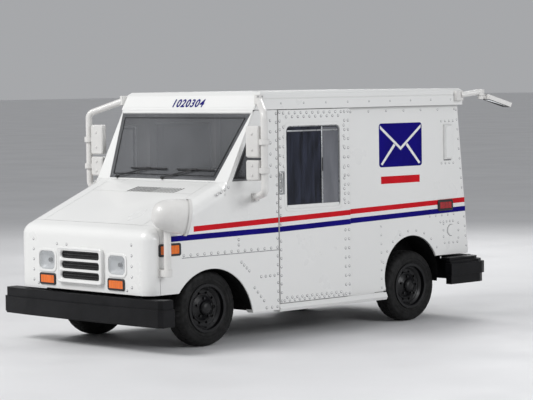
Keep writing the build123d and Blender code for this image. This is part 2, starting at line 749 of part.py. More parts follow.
def mirror_heads():
    x, y = MIRROR_TUBE
    heads = []
    for low, high, grip in ((1593, 1863, 1728), (1398, 1572, 1486)):
        shell = box(950, 1112, y - 25, y + 25, low, high)
        shell = fillet(shell.edges().filter_by(Axis.Y), 22)
        shell = chamfer(shell.faces().sort_by(Axis.Y)[0].edges(), 10)
        collar = rod((x, y, grip - 24), (x, y, grip + 24), 44)
        arm = box(1108, x - 20, y - 16, y + 16, grip - 18, grip + 18)
        head = join([shell, arm, collar]) - rod((x, y, low), (x, y, high), MIRROR_TUBE_R + RUN)
        heads.append(head)
    return heads


def blunt_arc(radius, depth, angles):
    points = []
    for t in angles:
        across = math.sin(math.radians(t)) ** BOWL_BLUNTNESS
        along = abs(math.cos(math.radians(t))) ** BOWL_BLUNTNESS
        points.append((radius * across, -depth * along))
    return points


def crossview():
    x, y = POST
    z = 1150.0
    depth = 300.0
    radius = 145.0
    outer = blunt_arc(radius, depth, range(0, 91, 6))
    inner = blunt_arc(radius - 6, depth - 6, range(84, -1, -6))
    profile = [(a, 0, b) for a, b in outer + [(0, 0)]]
    solid = revolve(make_face(Polyline(*profile, close=True)), axis=Axis.Z)
    hollow = [(a, 0, b) for a, b in [(0, -12), (radius - 8, -12)] + inner]
    solid = solid - revolve(make_face(Polyline(*hollow, close=True)), axis=Axis.Z)
    yaw = math.radians(30)
    tilt = math.radians(-8)
    facing = Vector(math.sin(yaw) * math.cos(tilt), math.cos(yaw) * math.cos(tilt), math.sin(tilt))
    rim_at = Vector(x, y, z) + facing * 175
    bowl = Plane(origin=rim_at, z_dir=facing) * solid
    post = rod((x, y, 660), (x, y, z - 125), POST_R)
    return bowl + post


def mirror_brackets():
    x, y = POST
    plate = box(CAB_HALF + 0.2, CAB_HALF + 8, y - 45, y + 55, 634, 706)
    socket = rod((x, y, 640), (x, y, 700), 37.5) + box(CAB_HALF + 2, x, y - 30, y + 30, 640, 700)
    foot = (plate + socket) - rod((x, y, 655), (x, y, 720), POST_R + RUN)
    px, py = REAR_MIRROR_PIN
    pad = box(ROOF_HALF + 0.2, 912, 3085, 3180, 2032, 2126)
    arm = rod((906, 3150, 2086), (px, py, 2112), 26)
    knuckle_top = rod((px, py, 2076), (px, py, 2136), 34)
    pin = rod((px, py, 2040), (px, py, 2080), 12)
    return [foot, join([pad, arm, knuckle_top, pin])]


def rear_mirror():
    px, py = REAR_MIRROR_PIN
    yaw = math.radians(60)
    out = Vector(math.cos(yaw), math.sin(yaw), 0)
    collar = rod((px, py, 2044), (px, py, 2074), 34)
    base = Plane(origin=(px, py, 2058), x_dir=out, z_dir=(0, 0, 1))
    neck = base * (Pos(62, 0, 0) * Box(76, 44, 26))
    tilt = Rot(0, 20, 0)
    plate = base * (Pos(160, 0, -34) * tilt * Box(232, 200, 42))
    wedge = base * (Pos(105, 0, -8) * tilt * Box(110, 60, 44))
    return join([collar, neck, plate, wedge]) - rod((px, py, 2000), (px, py, 2100), 12 + RUN)


def build():
    os.makedirs("parts", exist_ok=True)
    shell = nose_shell()
    left_cab = cab_side(shell)
    put("fascia", fascia(shell))
    put("hood", hood(shell))
    put("cowl_panel", cowl_panel(shell))
    put("cab_side_left", left_cab)
    put("cab_side_right", swing(left_cab))
    put("cab_glass", cab_glass())
    put("windshield_frame", windshield_frame())
    put("roof", roof())
    put("cargo_side_left", cargo_side(True))
    put("cargo_side_right", swing(cargo_side(False)))
    put("sills_and_steps", both(sill()) + both(step_well()))
    put("floor_pan", floor_pan())
    put("partition", partition())
    put("rear_frame", rear_frame())
    put("door_tracks", both(rear_track()) + both(side_track()))
    door = side_door()
    put("door_left", door)
    put("door_right", swing(door))
    put("door_glass_left", door_glass())
    put("door_glass_right", swing(door_glass()))
    put("rear_door", rear_door())
    put("rear_carriage", rear_carriage())
    put("grille", grille())
    put("headlights", headlights())
    put("amber_lamps", amber_lamps())
    put("red_lamps", red_lamps())
    put("front_bumper", front_bumper())
    put("rear_bumper", rear_bumper())
    put("frame_rails", frame_rails())
    put("leaf_springs", leaf_springs())
    put("rear_axle", rear_axle())
    put("front_suspension", suspension())
    left_knuckle = knuckle()
    put("knuckle_left", left_knuckle)
    put("knuckle_right", swing(left_knuckle))
    put("tie_rod", tie_rod())
    for place, y in (("front", 0.0), ("rear", WHEELBASE)):
        one_rim = rim(y)
        one_tyre = tyre(y)
        put("rim_" + place + "_left", one_rim)
        put("tyre_" + place + "_left", one_tyre)
        put("rim_" + place + "_right", swing(one_rim))
        put("tyre_" + place + "_right", swing(one_tyre))
    put("powertrain", powertrain())
    put("exhaust", exhaust())
    put("fuel_tank", fuel_tank())
    put("dashboard", dashboard())
    put("steering_wheel", steering_wheel())
    put("brake_pedal", brake_pedal())
    put("mail_tray", mail_tray())
    put("seat_base", seat_base())
    put("seat_cushion", seat_cushion())
    put("seat_back", seat_back())
    put("wiper_right", wiper(-590))
    put("wiper_left", wiper(20))
    arm = mirror_arm()
    put("mirror_arms", both(arm))
    heads = mirror_heads()
    put("mirror_heads_left", heads)
    put("mirror_heads_right", [swing(h) for h in heads])
    put("crossview_mirror", crossview())
    put("mirror_brackets", mirror_brackets())
    put("rear_mirror", rear_mirror())


build()
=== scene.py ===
import bmesh
import bpy
import json
import math
from mathutils import Matrix, Vector


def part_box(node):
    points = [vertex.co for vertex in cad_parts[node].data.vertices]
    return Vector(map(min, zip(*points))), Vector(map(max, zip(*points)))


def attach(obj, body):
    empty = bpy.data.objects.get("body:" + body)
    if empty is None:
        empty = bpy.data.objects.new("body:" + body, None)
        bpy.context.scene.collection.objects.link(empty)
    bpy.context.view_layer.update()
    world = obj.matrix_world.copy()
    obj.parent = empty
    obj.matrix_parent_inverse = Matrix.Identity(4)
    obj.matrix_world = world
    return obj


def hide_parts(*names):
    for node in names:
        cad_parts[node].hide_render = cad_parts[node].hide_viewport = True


# Looks of the mail delivery van. Places are written in the design's own millimetres, with y counted
# backwards from the front axle, and at() turns them into the row frame. +X is the vehicle's left side
# and the nose faces -Y.

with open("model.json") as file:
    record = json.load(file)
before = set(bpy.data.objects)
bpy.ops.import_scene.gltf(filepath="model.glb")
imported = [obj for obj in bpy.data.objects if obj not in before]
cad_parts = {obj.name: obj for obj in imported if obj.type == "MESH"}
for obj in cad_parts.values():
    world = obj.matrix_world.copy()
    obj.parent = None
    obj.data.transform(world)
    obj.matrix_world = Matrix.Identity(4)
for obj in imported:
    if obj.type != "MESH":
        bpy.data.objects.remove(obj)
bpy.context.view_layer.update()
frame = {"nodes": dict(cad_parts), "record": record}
NODES = frame["nodes"]
SCENE = bpy.context.scene
MM = 0.001


def middle(node):
    low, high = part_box(node)
    return (low + high) / 2


AXLE = middle("rim_front_left")
REAR_AXLE = (middle("rim_rear_left").y - AXLE.y) / MM
TYRE_R = AXLE.z / MM
CAB_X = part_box("cab_side_left")[1].x / MM
CARGO_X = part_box("rear_frame")[1].x / MM + 6.5
ROOF_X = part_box("roof")[1].x / MM
NOSE_Y = (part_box("fascia")[0].y - AXLE.y) / MM
LEAN = 0.102
HOOD_SLOPE = 0.4254
NOSE_EDGE_R = 110.0
REAR_PLATE = (160.0, -34.0, 21.0)
SCREEN_ANGLE = math.radians(27.4)
SCREEN_FOOT = (189.0, 1397.0)
SCREEN_HEIGHT = 641.0
SCREEN_HALF = (699.0, 848.0)
DOOR = (789.0, 1678.0, 309.0, 1988.0)
SIDES = {"left": 1, "right": -1}
STRIPE_HEIGHTS = {"red": 46, "navy": 47}
HEADLAMP_X, HEADLAMP_Z = 466, 724
STEERING_HUB = (-400, 760, 1190)
COLUMN_TILT = math.radians(35)
MIRROR_HEAD_X = 1031
CROSSVIEW_BOWL = (940, -572, 1150)
REAR_MIRROR_FOOT = (985, 3345, 2058)
FRONT_ARCH = (-15, 192)
REAR_ARCH = (2540, 424)
SURFACE_IOR = 1.5
COAT_ROUGHNESS = 0.06
CAMERA_ANGLES = (46.1, 3.1, -0.8)
CAMERA_TARGET = (0, 1470, 1150.9)
CAMERA_DISTANCE = 19.934
SENSOR_WIDTH = 36.0
FOCAL_LENGTH = 146.7
FLOOR_REACH = 260.0
WORLD_COLOUR = (0.62, 0.63, 0.65, 1)
WORLD_STRENGTH = 0.62


def at(x, y, z):
    return Vector((x * MM, AXLE.y + y * MM, z * MM))


def rear_y(z):
    return 3192 + (2000 - z) * LEAN


def hood_z(y):
    return 1005 + (y - NOSE_Y) * HOOD_SLOPE


# ---- materials ----
def add_node(tree, kind, **values):
    node = tree.nodes.new("ShaderNode" + kind)
    for key, value in values.items():
        setattr(node, key, value)
    return node


def noise(tree, scale, detail=4.0, stretch=None):
    place = add_node(tree, "TexCoord").outputs["Object"]
    if stretch:
        mapping = add_node(tree, "Mapping")
        mapping.inputs["Scale"].default_value = stretch
        tree.links.new(place, mapping.inputs["Vector"])
        place = mapping.outputs["Vector"]
    node = add_node(tree, "TexNoise")
    node.inputs["Scale"].default_value = scale
    node.inputs["Detail"].default_value = detail
    tree.links.new(place, node.inputs["Vector"])
    return node.outputs["Fac"]


def spread(tree, value, low, high, to_low, to_high):
    node = add_node(tree, "MapRange")
    for i, number in enumerate((low, high, to_low, to_high)):
        node.inputs[i + 1].default_value = number
    tree.links.new(value, node.inputs[0])
    return node.outputs[0]


def blend(tree, factor, first, second):
    node = add_node(tree, "Mix", data_type="RGBA")
    tree.links.new(factor, node.inputs["Factor"])
    for socket, value in ((node.inputs[6], first), (node.inputs[7], second)):
        if isinstance(value, (tuple, list)):
            socket.default_value = (*value[:3], 1)
        else:
            tree.links.new(value, socket)
    return node.outputs[2]


def surface(name, colour, rough, metallic=0.0, coat=0.0, mottle=(2.5, 0.05), grain=(260.0, 0.1),
            depth=0.0004,
            dust=None, edge=0.0, alpha=None, stretch=None, wear=None, sheen=0.0, shine=0.5):
    """A procedural surface: mottled colour, uneven roughness, a fine grain, and optional dust, worn
    specks and rounded edges of the given radius in metres."""
    mat = bpy.data.materials.new(name)
    mat.use_nodes = True
    tree = mat.node_tree
    shader = tree.nodes["Principled BSDF"]
    dark = [c * (1 - mottle[1]) for c in colour]
    light = [min(1.0, c * (1 + mottle[1])) for c in colour]
    large = spread(tree, noise(tree, mottle[0], 5.0, stretch), 0.35, 0.65, 0, 1)
    shade = blend(tree, large, dark, light)
    if wear:
        worn = spread(tree, noise(tree, wear[0], 6.0), wear[1], wear[1] + 0.06, 0, wear[2])
        shade = blend(tree, worn, shade, wear[3])
    if dust:
        settled = spread(tree, noise(tree, dust[0], 2.0), dust[1], dust[1] + 0.05, 0, dust[2])
        shade = blend(tree, settled, shade, dust[3])
    tree.links.new(shade, shader.inputs["Base Color"])
    patchy = noise(tree, mottle[0] * 2.7, 4.0, stretch)
    low = max(0.02, rough * 0.75)
    tree.links.new(spread(tree, patchy, 0.3, 0.7, low, min(1.0, rough * 1.3)), shader.inputs["Roughness"])
    shader.inputs["Metallic"].default_value = metallic
    shader.inputs["Coat Weight"].default_value = coat
    shader.inputs["Coat Roughness"].default_value = COAT_ROUGHNESS
    shader.inputs["IOR"].default_value = SURFACE_IOR
    shader.inputs["Specular IOR Level"].default_value = shine
    if sheen:
        shader.inputs["Sheen Weight"].default_value = sheen
    bump = add_node(tree, "Bump")
    bump.inputs["Strength"].default_value = grain[1]
    bump.inputs["Distance"].default_value = depth
    tree.links.new(noise(tree, grain[0], 3.0, stretch), bump.inputs["Height"])
    if edge:
        rounded = add_node(tree, "Bevel", samples=4)
        rounded.inputs["Radius"].default_value = edge
        tree.links.new(rounded.outputs["Normal"], bump.inputs["Normal"])
    tree.links.new(bump.outputs["Normal"], shader.inputs["Normal"])
    if alpha is not None:
        shader.inputs["Alpha"].default_value = alpha
    return mat


GREY_DUST = (0.45, 0.43, 0.4)
WHITE = surface("white_paint", (0.79, 0.79, 0.775), 0.34, coat=0.35, mottle=(1.1, 0.01), grain=(38.0, 0.1),
                depth=0.0008, dust=(210.0, 0.71, 0.3, GREY_DUST), edge=0.006)
FITTING = surface("white_fitting_paint", (0.70, 0.69, 0.67), 0.4, coat=0.3, mottle=(6.0, 0.05),
                  grain=(90.0, 0.15),
                  depth=0.0008, dust=(220.0, 0.68, 0.4, GREY_DUST), edge=0.008)
RIVET = surface("rivet_paint", (0.80, 0.80, 0.79), 0.28, coat=0.5, mottle=(30.0, 0.06), grain=(300.0, 0.1))
# Painted shade: a dark grey laid where shadow falls, round rivet heads, under the waist lap, under the vent
# box and round the fuel filler.
SHADE_GREY = surface("rivet_grime", (0.22, 0.22, 0.23), 0.75, mottle=(40.0, 0.3), grain=(300.0, 0.3))
RED = surface("red_stripe", (0.56, 0.006, 0.014), 0.45, shine=0.12, mottle=(5.0, 0.08), grain=(70.0, 0.1),
              dust=(140.0, 0.7, 0.3, (0.5, 0.2, 0.18)))
NAVY = surface("navy_stripe", (0.004, 0.001, 0.16), 0.45, shine=0.08, mottle=(5.0, 0.12), grain=(70.0, 0.1),
               dust=(140.0, 0.7, 0.3, (0.08, 0.08, 0.2)))
BUMPER = surface("bumper_plastic", (0.006, 0.006, 0.007), 0.38, shine=0.18, mottle=(4.0, 0.25),
                 grain=(600.0, 0.5), depth=0.0006,
                 dust=(160.0, 0.68, 0.2, (0.12, 0.115, 0.11)), edge=0.006)
BLACK = surface("black_plastic", (0.014, 0.014, 0.015), 0.34, mottle=(8.0, 0.2), grain=(500.0, 0.3),
                dust=(110.0, 0.7, 0.3, (0.25, 0.24, 0.22)), edge=0.002)
SEAL = surface("rubber_seal", (0.012, 0.012, 0.013), 0.55, mottle=(12.0, 0.2), grain=(400.0, 0.4),
               dust=(160.0, 0.68, 0.3, (0.3, 0.29, 0.27)))
CHASSIS = surface("chassis_paint", (0.008, 0.008, 0.009), 0.55, shine=0.25, mottle=(5.0, 0.3),
                  grain=(220.0, 0.5), depth=0.0008,
                  dust=(30.0, 0.6, 0.4, (0.13, 0.11, 0.09)), edge=0.003,
                  wear=(14.0, 0.68, 0.5, (0.16, 0.07, 0.035)))
STEEL = surface("bare_steel", (0.42, 0.42, 0.43), 0.35, metallic=1.0, mottle=(9.0, 0.12),
                grain=(300.0, 0.3),
                edge=0.002, wear=(20.0, 0.7, 0.5, (0.25, 0.13, 0.08)))
CAST = surface("cast_alloy", (0.33, 0.33, 0.34), 0.55, metallic=0.8, mottle=(12.0, 0.2), grain=(350.0, 0.8),
               depth=0.001, edge=0.004, dust=(40.0, 0.62, 0.5, (0.12, 0.1, 0.08)))
SHEET = surface("grey_sheet_paint", (0.30, 0.31, 0.32), 0.45, mottle=(4.0, 0.08), grain=(180.0, 0.3),
                edge=0.003,
                dust=(70.0, 0.66, 0.4, GREY_DUST), wear=(26.0, 0.7, 0.6, (0.45, 0.45, 0.44)))
SASH = surface("window_sash", (0.42, 0.43, 0.44), 0.3, metallic=0.7, mottle=(10.0, 0.08),
               grain=(400.0, 0.2),
               edge=0.002)
RIM = surface("rim_enamel", (0.006, 0.006, 0.007), 0.34, shine=0.35, mottle=(10.0, 0.2), grain=(160.0, 0.2),
              edge=0.003,
              dust=(160.0, 0.69, 0.2, (0.1, 0.095, 0.09)))
RUBBER = surface("tyre_rubber", (0.009, 0.009, 0.009), 0.7, shine=0.25, mottle=(9.0, 0.25),
                 grain=(500.0, 0.7), depth=0.0008,
                 dust=(70.0, 0.64, 0.3, (0.05, 0.048, 0.045)))
GLASS = surface("tinted_glass", (0.17, 0.175, 0.185), 0.04, mottle=(1.2, 0.2), grain=(2.0, 0.01),
                alpha=0.42)
SIDE_GLASS = surface("side_glass", (0.02, 0.023, 0.038), 0.05, mottle=(5.0, 0.6), grain=(6.0, 0.05),
                     depth=0.001,
                     alpha=0.8, stretch=(1.0, 5.0, 0.7))
PANE = surface("vent_glass", (0.17, 0.175, 0.195), 0.12, mottle=(2.0, 0.2), grain=(9.0, 0.2), depth=0.002,
               alpha=0.82,
               stretch=(1.0, 4.0, 0.8))
CLEAR = surface("lamp_glass", (0.75, 0.78, 0.8), 0.04, mottle=(20.0, 0.05), grain=(90.0, 0.5), depth=0.0015,
                alpha=0.28,
                stretch=(1.0, 1.0, 0.1))
MIRROR = surface("mirror_glass", (0.72, 0.75, 0.78), 0.03, metallic=1.0, mottle=(3.0, 0.02),
                 grain=(5.0, 0.02))
CHROME = surface("lamp_reflector", (0.50, 0.51, 0.52), 0.55, metallic=0.3, mottle=(25.0, 0.05),
                 grain=(120.0, 0.4),
                 depth=0.001)
AMBER = surface("amber_lens", (0.78, 0.15, 0.004), 0.22, coat=0.3, mottle=(40.0, 0.12), grain=(130.0, 0.9),
                depth=0.002,
                stretch=(1.0, 1.0, 0.15))
LENS_RED = surface("red_lens", (0.33, 0.008, 0.012), 0.2, coat=0.6, mottle=(40.0, 0.25), grain=(130.0, 0.9),
                   depth=0.002, stretch=(1.0, 1.0, 0.15))
DASH = surface("dash_plastic", (0.11, 0.11, 0.115), 0.55, mottle=(7.0, 0.1), grain=(700.0, 0.7),
               depth=0.0006,
               edge=0.005, dust=(90.0, 0.68, 0.4, (0.3, 0.29, 0.28)))
# Painted light: a lighter copy of the dash plastic for the dash top, where light falls through the
# windshield.
DASH_LIT_TOP = surface("dash_top_painted_light", (0.50, 0.50, 0.50), 0.6, mottle=(6.0, 0.12), grain=(500.0, 0.7),
                   depth=0.0006)
VINYL = surface("seat_vinyl", (0.045, 0.052, 0.075), 0.42, mottle=(14.0, 0.25), grain=(420.0, 0.9),
                depth=0.0008,
                sheen=0.15, dust=(60.0, 0.68, 0.3, (0.14, 0.14, 0.16)))
PIPING = surface("seat_piping", (0.02, 0.022, 0.03), 0.5, mottle=(30.0, 0.2), grain=(900.0, 0.5))
LINER = surface("arch_liner", (0.006, 0.006, 0.006), 0.85, mottle=(14.0, 0.3), grain=(160.0, 0.6),
                depth=0.001,
                shine=0.1)
DIAL = surface("dial_face", (0.01, 0.01, 0.012), 0.35, mottle=(20.0, 0.2), grain=(300.0, 0.2))
DARK = surface("shadow_black", (0.004, 0.004, 0.004), 0.8, mottle=(20.0, 0.3), grain=(200.0, 0.3))

SLOT_LOOKS = {"white_panel": WHITE, "white_fitting": FITTING, "grey_sheet": SHEET, "glass": GLASS,
              "clear_lens": CLEAR, "amber_lens": AMBER, "red_lens": LENS_RED, "black_bumper": BUMPER,
              "chassis_black": CHASSIS, "bare_steel": STEEL, "rim_black": RIM, "tyre": RUBBER,
              "cast_alloy": CAST,
              "tank_plastic": BLACK, "dash_plastic": DASH, "seat_vinyl": VINYL}


def dress_cad_nodes():
    for part in frame["record"]["subparts"]:
        node = NODES[part["node"]]
        node.data.materials.clear()
        node.data.materials.append(SLOT_LOOKS[part["material_slot"]])
    for name in ("wiper_left", "wiper_right"):
        NODES[name].data.materials[0] = BLACK
    for name in ("door_glass_left", "door_glass_right"):
        NODES[name].data.materials[0] = SIDE_GLASS


# ---- mesh helpers ----
def piece(name, verts, faces, body, material, smooth=True):
    mesh = bpy.data.meshes.new(name)
    mesh.from_pydata([tuple(v) for v in verts], [], faces)
    mesh.validate()
    work = bmesh.new()
    work.from_mesh(mesh)
    bmesh.ops.remove_doubles(work, verts=work.verts, dist=1e-6)
    bmesh.ops.recalc_face_normals(work, faces=work.faces)
    work.to_mesh(mesh)
    work.free()
    mesh.polygons.foreach_set("use_smooth", [smooth] * len(mesh.polygons))
    if smooth:
        mesh.set_sharp_from_angle(angle=math.radians(38))
    return settle(bpy.data.objects.new(name, mesh), body, material)


def settle(obj, body, material):
    if obj.name not in SCENE.collection.objects:
        SCENE.collection.objects.link(obj)
    obj.data.materials.clear()
    obj.data.materials.append(material)
    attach(obj, body)
    return obj


def facing(origin, normal, up=(0, 0, 1)):
    """A matrix whose local z is the normal and whose local x and y lie on the surface, in metres."""
    n = Vector(normal).normalized()
    u = Vector(up).cross(n).normalized()
    v = n.cross(u)
    matrix = Matrix((u, v, n)).transposed().to_4x4()
    matrix.translation = origin
    return matrix


def rounded(w, h, r, steps=6):
    """A rounded rectangle as a loop of points, in millimetres."""
    r = max(0.01, min(r, w / 2, h / 2))
    loop = []
    for k, (cx, cy) in enumerate(((1, 1), (-1, 1), (-1, -1), (1, -1))):
        for i in range(steps + 1):
            a = math.pi / 2 * (k + i / steps)
            loop.append((cx * (w / 2 - r) + r * math.cos(a), cy * (h / 2 - r) + r * math.sin(a)))
    return loop


def circle(r, steps=32):
    return [(r * math.cos(2 * math.pi * i / steps), r * math.sin(2 * math.pi * i / steps))
            for i in range(steps)]


def softened(corners, r, steps=6):
    """A polygon's corners rounded to radius r."""
    loop = []
    count = len(corners)
    for i in range(count):
        here = Vector(corners[i])
        before = (Vector(corners[i - 1]) - here).normalized()
        after = (Vector(corners[(i + 1) % count]) - here).normalized()
        half = before.angle(after) / 2
        centre = here + (before + after).normalized() * (r / math.sin(half))
        start = here + before * (r / math.tan(half)) - centre
        end = here + after * (r / math.tan(half)) - centre
        for k in range(steps + 1):
            loop.append(tuple(centre + start.slerp(end, k / steps)))
    return loop


def rings(loops, place):
    """Loops of (u, v) at heights, as vertices in the row frame."""
    return [place @ Vector((u * MM, v * MM, h * MM)) for loop, h in loops for u, v in loop]


def bridged(count, layers, wrap=False):
    faces = []
    last = layers if wrap else layers - 1
    for k in range(last):
        for i in range(count):
            j = (i + 1) % count
            a, b = k * count, ((k + 1) % layers) * count
            faces.append((a + i, a + j, b + j, b + i))
    return faces


def mixed(outer, inner, t):
    return [(a[0] + (b[0] - a[0]) * t, a[1] + (b[1] - a[1]) * t) for a, b in zip(outer, inner)]


def bezel(name, outer, inner, height, place, body, material, base=0.0):
    """A raised frame between two loops, with rounded shoulders."""
    profile = ((0.0, base), (0.0, height * 0.6), (0.12, height * 0.9), (0.28, height), (0.72, height),
               (0.88, height * 0.9), (1.0, height * 0.6), (1.0, base))
    loops = [(mixed(outer, inner, t), h) for t, h in profile]
    return piece(name, rings(loops, place), bridged(len(outer), len(loops)), body, material)


def pad(name, outline, height, place, body, material, soft=3.0, base=0.0, dome=0.0):
    """A filled raised shape: outline(inset) gives its loop, and its rim is rounded over soft millimetres."""
    loops = [(outline(0), base), (outline(0), height - soft * 0.7),
             (outline(soft * 0.3), height - soft * 0.2),
             (outline(soft), height)]
    if dome:
        for share in (0.3, 0.6, 0.85):
            loops.append((mixed(outline(soft), [(0, 0)] * len(outline(soft)), share),
                          height + dome * share))
    count = len(loops[0][0])
    faces = bridged(count, len(loops))
    faces.append(tuple(range((len(loops) - 1) * count, len(loops) * count)))
    return piece(name, rings(loops, place), faces, body, material)


def decal(name, corners, place, body, material, thick=0.6):
    """A flat graphic of the given corners, standing proud of the paint."""
    count = len(corners)
    verts = rings([(corners, 0.0), (corners, thick)], place)
    faces = bridged(count, 2) + [tuple(range(count, 2 * count))]
    return piece(name, verts, faces, body, material, smooth=False)


def domes(name, points, normal, body, radius=9.5, height=5.0, material=RIVET):
    """Round rivet heads at points, which are given in millimetres. Painted ones sit in a ring of painted
    shadow, set a little below the head.
    """
    if material == RIVET:
        shadow_rings(name + "_grime", points, normal, body, radius * 1.4)
    profile = ((1.0, 0.0), (0.94, 0.45), (0.7, 0.82), (0.35, 0.97))
    steps = 10
    verts, faces = [], []
    for point in points:
        place = facing(at(*point), normal, (0, 0, 1) if abs(normal[2]) < 0.9 else (0, 1, 0))
        start = len(verts)
        loops = [(circle(radius * r, steps), height * h) for r, h in profile]
        verts += rings(loops, place)
        faces += [tuple(start + i for i in face) for face in bridged(steps, len(loops))]
        faces.append(tuple(start + (len(loops) - 1) * steps + i for i in range(steps)))
    return piece(name, verts, faces, body, material)


# A flat ring of painted shadow round each rivet head, shifted a little down the surface, as a cast shadow
# falls.
def shadow_rings(name, points, normal, body, radius):
    steps = 12
    verts, faces = [], []
    for point in points:
        place = facing(at(*point), normal, (0, 0, 1) if abs(normal[2]) < 0.9 else (0, 1, 0))
        place = place @ Matrix.Translation((0, -radius * 0.12 * MM, 0))
        start = len(verts)
        verts += rings([(circle(radius, steps), 0.0), (circle(radius * 0.9, steps), 0.5)], place)
        faces += [tuple(start + i for i in face) for face in bridged(steps, 2)]
        faces.append(tuple(start + steps + i for i in range(steps)))
    return piece(name, verts, faces, body, SHADE_GREY)


def tube(name, points, radius, body, material, closed=False, sides=3):
    """A round bar along points in the row frame."""
    curve = bpy.data.curves.new(name, "CURVE")
    curve.dimensions = "3D"
    curve.bevel_depth = radius * MM
    curve.bevel_resolution = sides
    curve.use_fill_caps = not closed
    spline = curve.splines.new("POLY")
    spline.points.add(len(points) - 1)
    for target, point in zip(spline.points, points):
        target.co = (*point, 1)
    spline.use_cyclic_u = closed
    return settle(as_mesh(name, curve), body, material)


def as_mesh(name, curve):
    holder = bpy.data.objects.new(name + ".curve", curve)
    SCENE.collection.objects.link(holder)
    graph = bpy.context.evaluated_depsgraph_get()
    mesh = bpy.data.meshes.new_from_object(holder.evaluated_get(graph))
    bpy.data.objects.remove(holder)
    mesh.polygons.foreach_set("use_smooth", [True] * len(mesh.polygons))
    mesh.set_sharp_from_angle(angle=math.radians(45))
    return bpy.data.objects.new(name, mesh)


def turned(name, profile, centre, body, material, steps=96, flip=1):
    """A lathe form about a line along X. The profile is (offset outwards, radius) in millimetres."""
    verts = []
    for offset, radius in profile:
        for i in range(steps):
            a = 2 * math.pi * i / steps
            verts.append(Vector((flip * offset * MM, centre.y + radius * MM * math.cos(a),
                                 centre.z + radius * MM * math.sin(a))))
    faces = bridged(steps, len(profile))
    return piece(name, verts, faces, body, material)


def bar(name, low, high, body, material, soft=2.0, steps=2):
    """A box between two corners in millimetres, with every edge rounded."""
    mesh = bpy.data.meshes.new(name)
    work = bmesh.new()
    a, b = at(*low), at(*high)
    bmesh.ops.create_cube(work, size=1.0,
                          matrix=Matrix.Translation((a + b) / 2) @ Matrix.Diagonal((*(b - a), 1)))
    bmesh.ops.bevel(work, geom=work.edges, offset=soft * MM, segments=steps, profile=0.5, affect="EDGES")
    bmesh.ops.recalc_face_normals(work, faces=work.faces)
    work.to_mesh(mesh)
    work.free()
    mesh.polygons.foreach_set("use_smooth", [True] * len(mesh.polygons))
    mesh.set_sharp_from_angle(angle=math.radians(50))
    return settle(bpy.data.objects.new(name, mesh), body, material)


# ---- painted graphics ----
def stripe_red(y):
    return 1013 + 0.023 * (y - 786)


def stripe_navy(y):
    return 930 + (0.0226 if y > 786 else 0.008) * (y - 786)


def stripes():
    """Two waistline bands on each side, cut where the body, the door and the cargo side meet."""
    spans = (("cab", "chassis", CAB_X, -215, -480, DOOR[0] - 15),
             ("door", "{}_door", CAB_X, DOOR[0] + 1, DOOR[0] + 1,
             DOOR[1] - 1), ("cargo", "chassis", CARGO_X, DOOR[1] + 3, DOOR[1] + 3, None))
    for side, sign in SIDES.items():
        for label, body, x, red_from, navy_from, end in spans:
            place = facing(at(sign * x, 0, 0), (sign, 0, 0))
            for colour, start, bottom, height in (("red", red_from, stripe_red, STRIPE_HEIGHTS["red"]),
                                                  ("navy", navy_from, stripe_navy, STRIPE_HEIGHTS["navy"])):
                stop = end or rear_y(bottom(3280)) - 1
                corners = [(start, bottom(start)), (stop, bottom(stop)), (stop, bottom(stop) + height),
                           (start, bottom(start) + height)]
                corners = [(u * sign, v) for u, v in corners]
                decal(f"{colour}_stripe_{label}_{side}", corners, place, body.format(side),
                      RED if colour == "red" else NAVY)


def emblem():
    """A plain envelope over a red bar on each cargo side: a generic mail sign, with no lettering."""
    for side, sign in SIDES.items():
        place = facing(at(sign * CARGO_X, 2400, 1640), (sign, 0, 0))
        half_w, half_h, fold = 290, 200, 30
        sheet = rounded(2 * half_w, 2 * half_h, 30)
        decal(f"envelope_{side}", sheet, place, "chassis", NAVY)
        flap = [(-half_w + 14, half_h - 18), (-half_w + 14, half_h - 18 - fold), (0, -34 - fold / 2),
                (half_w - 14, half_h - 18 - fold), (half_w - 14, half_h - 18), (0, -34 + fold / 2)]
        decal(f"envelope_flap_{side}", flap, place, "chassis", RIVET, thick=0.9)
        for turn in (-1, 1):
            crease = [(turn * 70, -4), (turn * 92, 14), (turn * (half_w - 22), -half_h + 30),
                      (turn * (half_w - 44), -half_h + 18)]
            decal(f"envelope_crease_{side}_{'front' if turn < 0 else 'rear'}", crease, place, "chassis",
                  RIVET, thick=0.9)
        bar_place = facing(at(sign * CARGO_X, 2395, 1322), (sign, 0, 0))
        decal(f"emblem_bar_{side}", [(-262, -34), (262, -34), (262, 34), (-262, 34)], bar_place, "chassis",
              RED)


def fleet_number():
    """Generic slanted digits on the slope over the windshield."""
    curve = bpy.data.curves.new("fleet_number", "FONT")
    curve.body = "1020304"
    curve.size = 0.105
    curve.shear = 0.2
    curve.space_character = 1.16
    curve.align_x = "CENTER"
    curve.extrude = 0.0004
    curve.offset = 0.0028
    digits = as_mesh("fleet_number", curve)
    back = math.tan(SCREEN_ANGLE)
    foot = at(0, SCREEN_FOOT[0] + (2022 - SCREEN_FOOT[1]) * back - 8, 2022)
    normal = (0, -math.cos(SCREEN_ANGLE), math.sin(SCREEN_ANGLE))
    digits.data.transform(facing(foot + Vector(normal) * 0.0010, normal))
    settle(digits, "chassis", NAVY)


# ---- rivets ----
def row(start, end, pitch):
    """Points evenly spaced from start to end, near the given pitch."""
    a, b = Vector(start), Vector(end)
    count = max(1, round((b - a).length / pitch))
    return [tuple(a.lerp(b, i / count)) for i in range(count + 1)]


def clear_of_stripes(points):
    """The rivets that the painted bands do not cover."""
    kept = []
    for x, y, z in points:
        bands = (stripe_red(y), stripe_navy(y))
        if all(abs(z - low - 23) > 36 for low in bands):
            kept.append((x, y, z))
    return kept


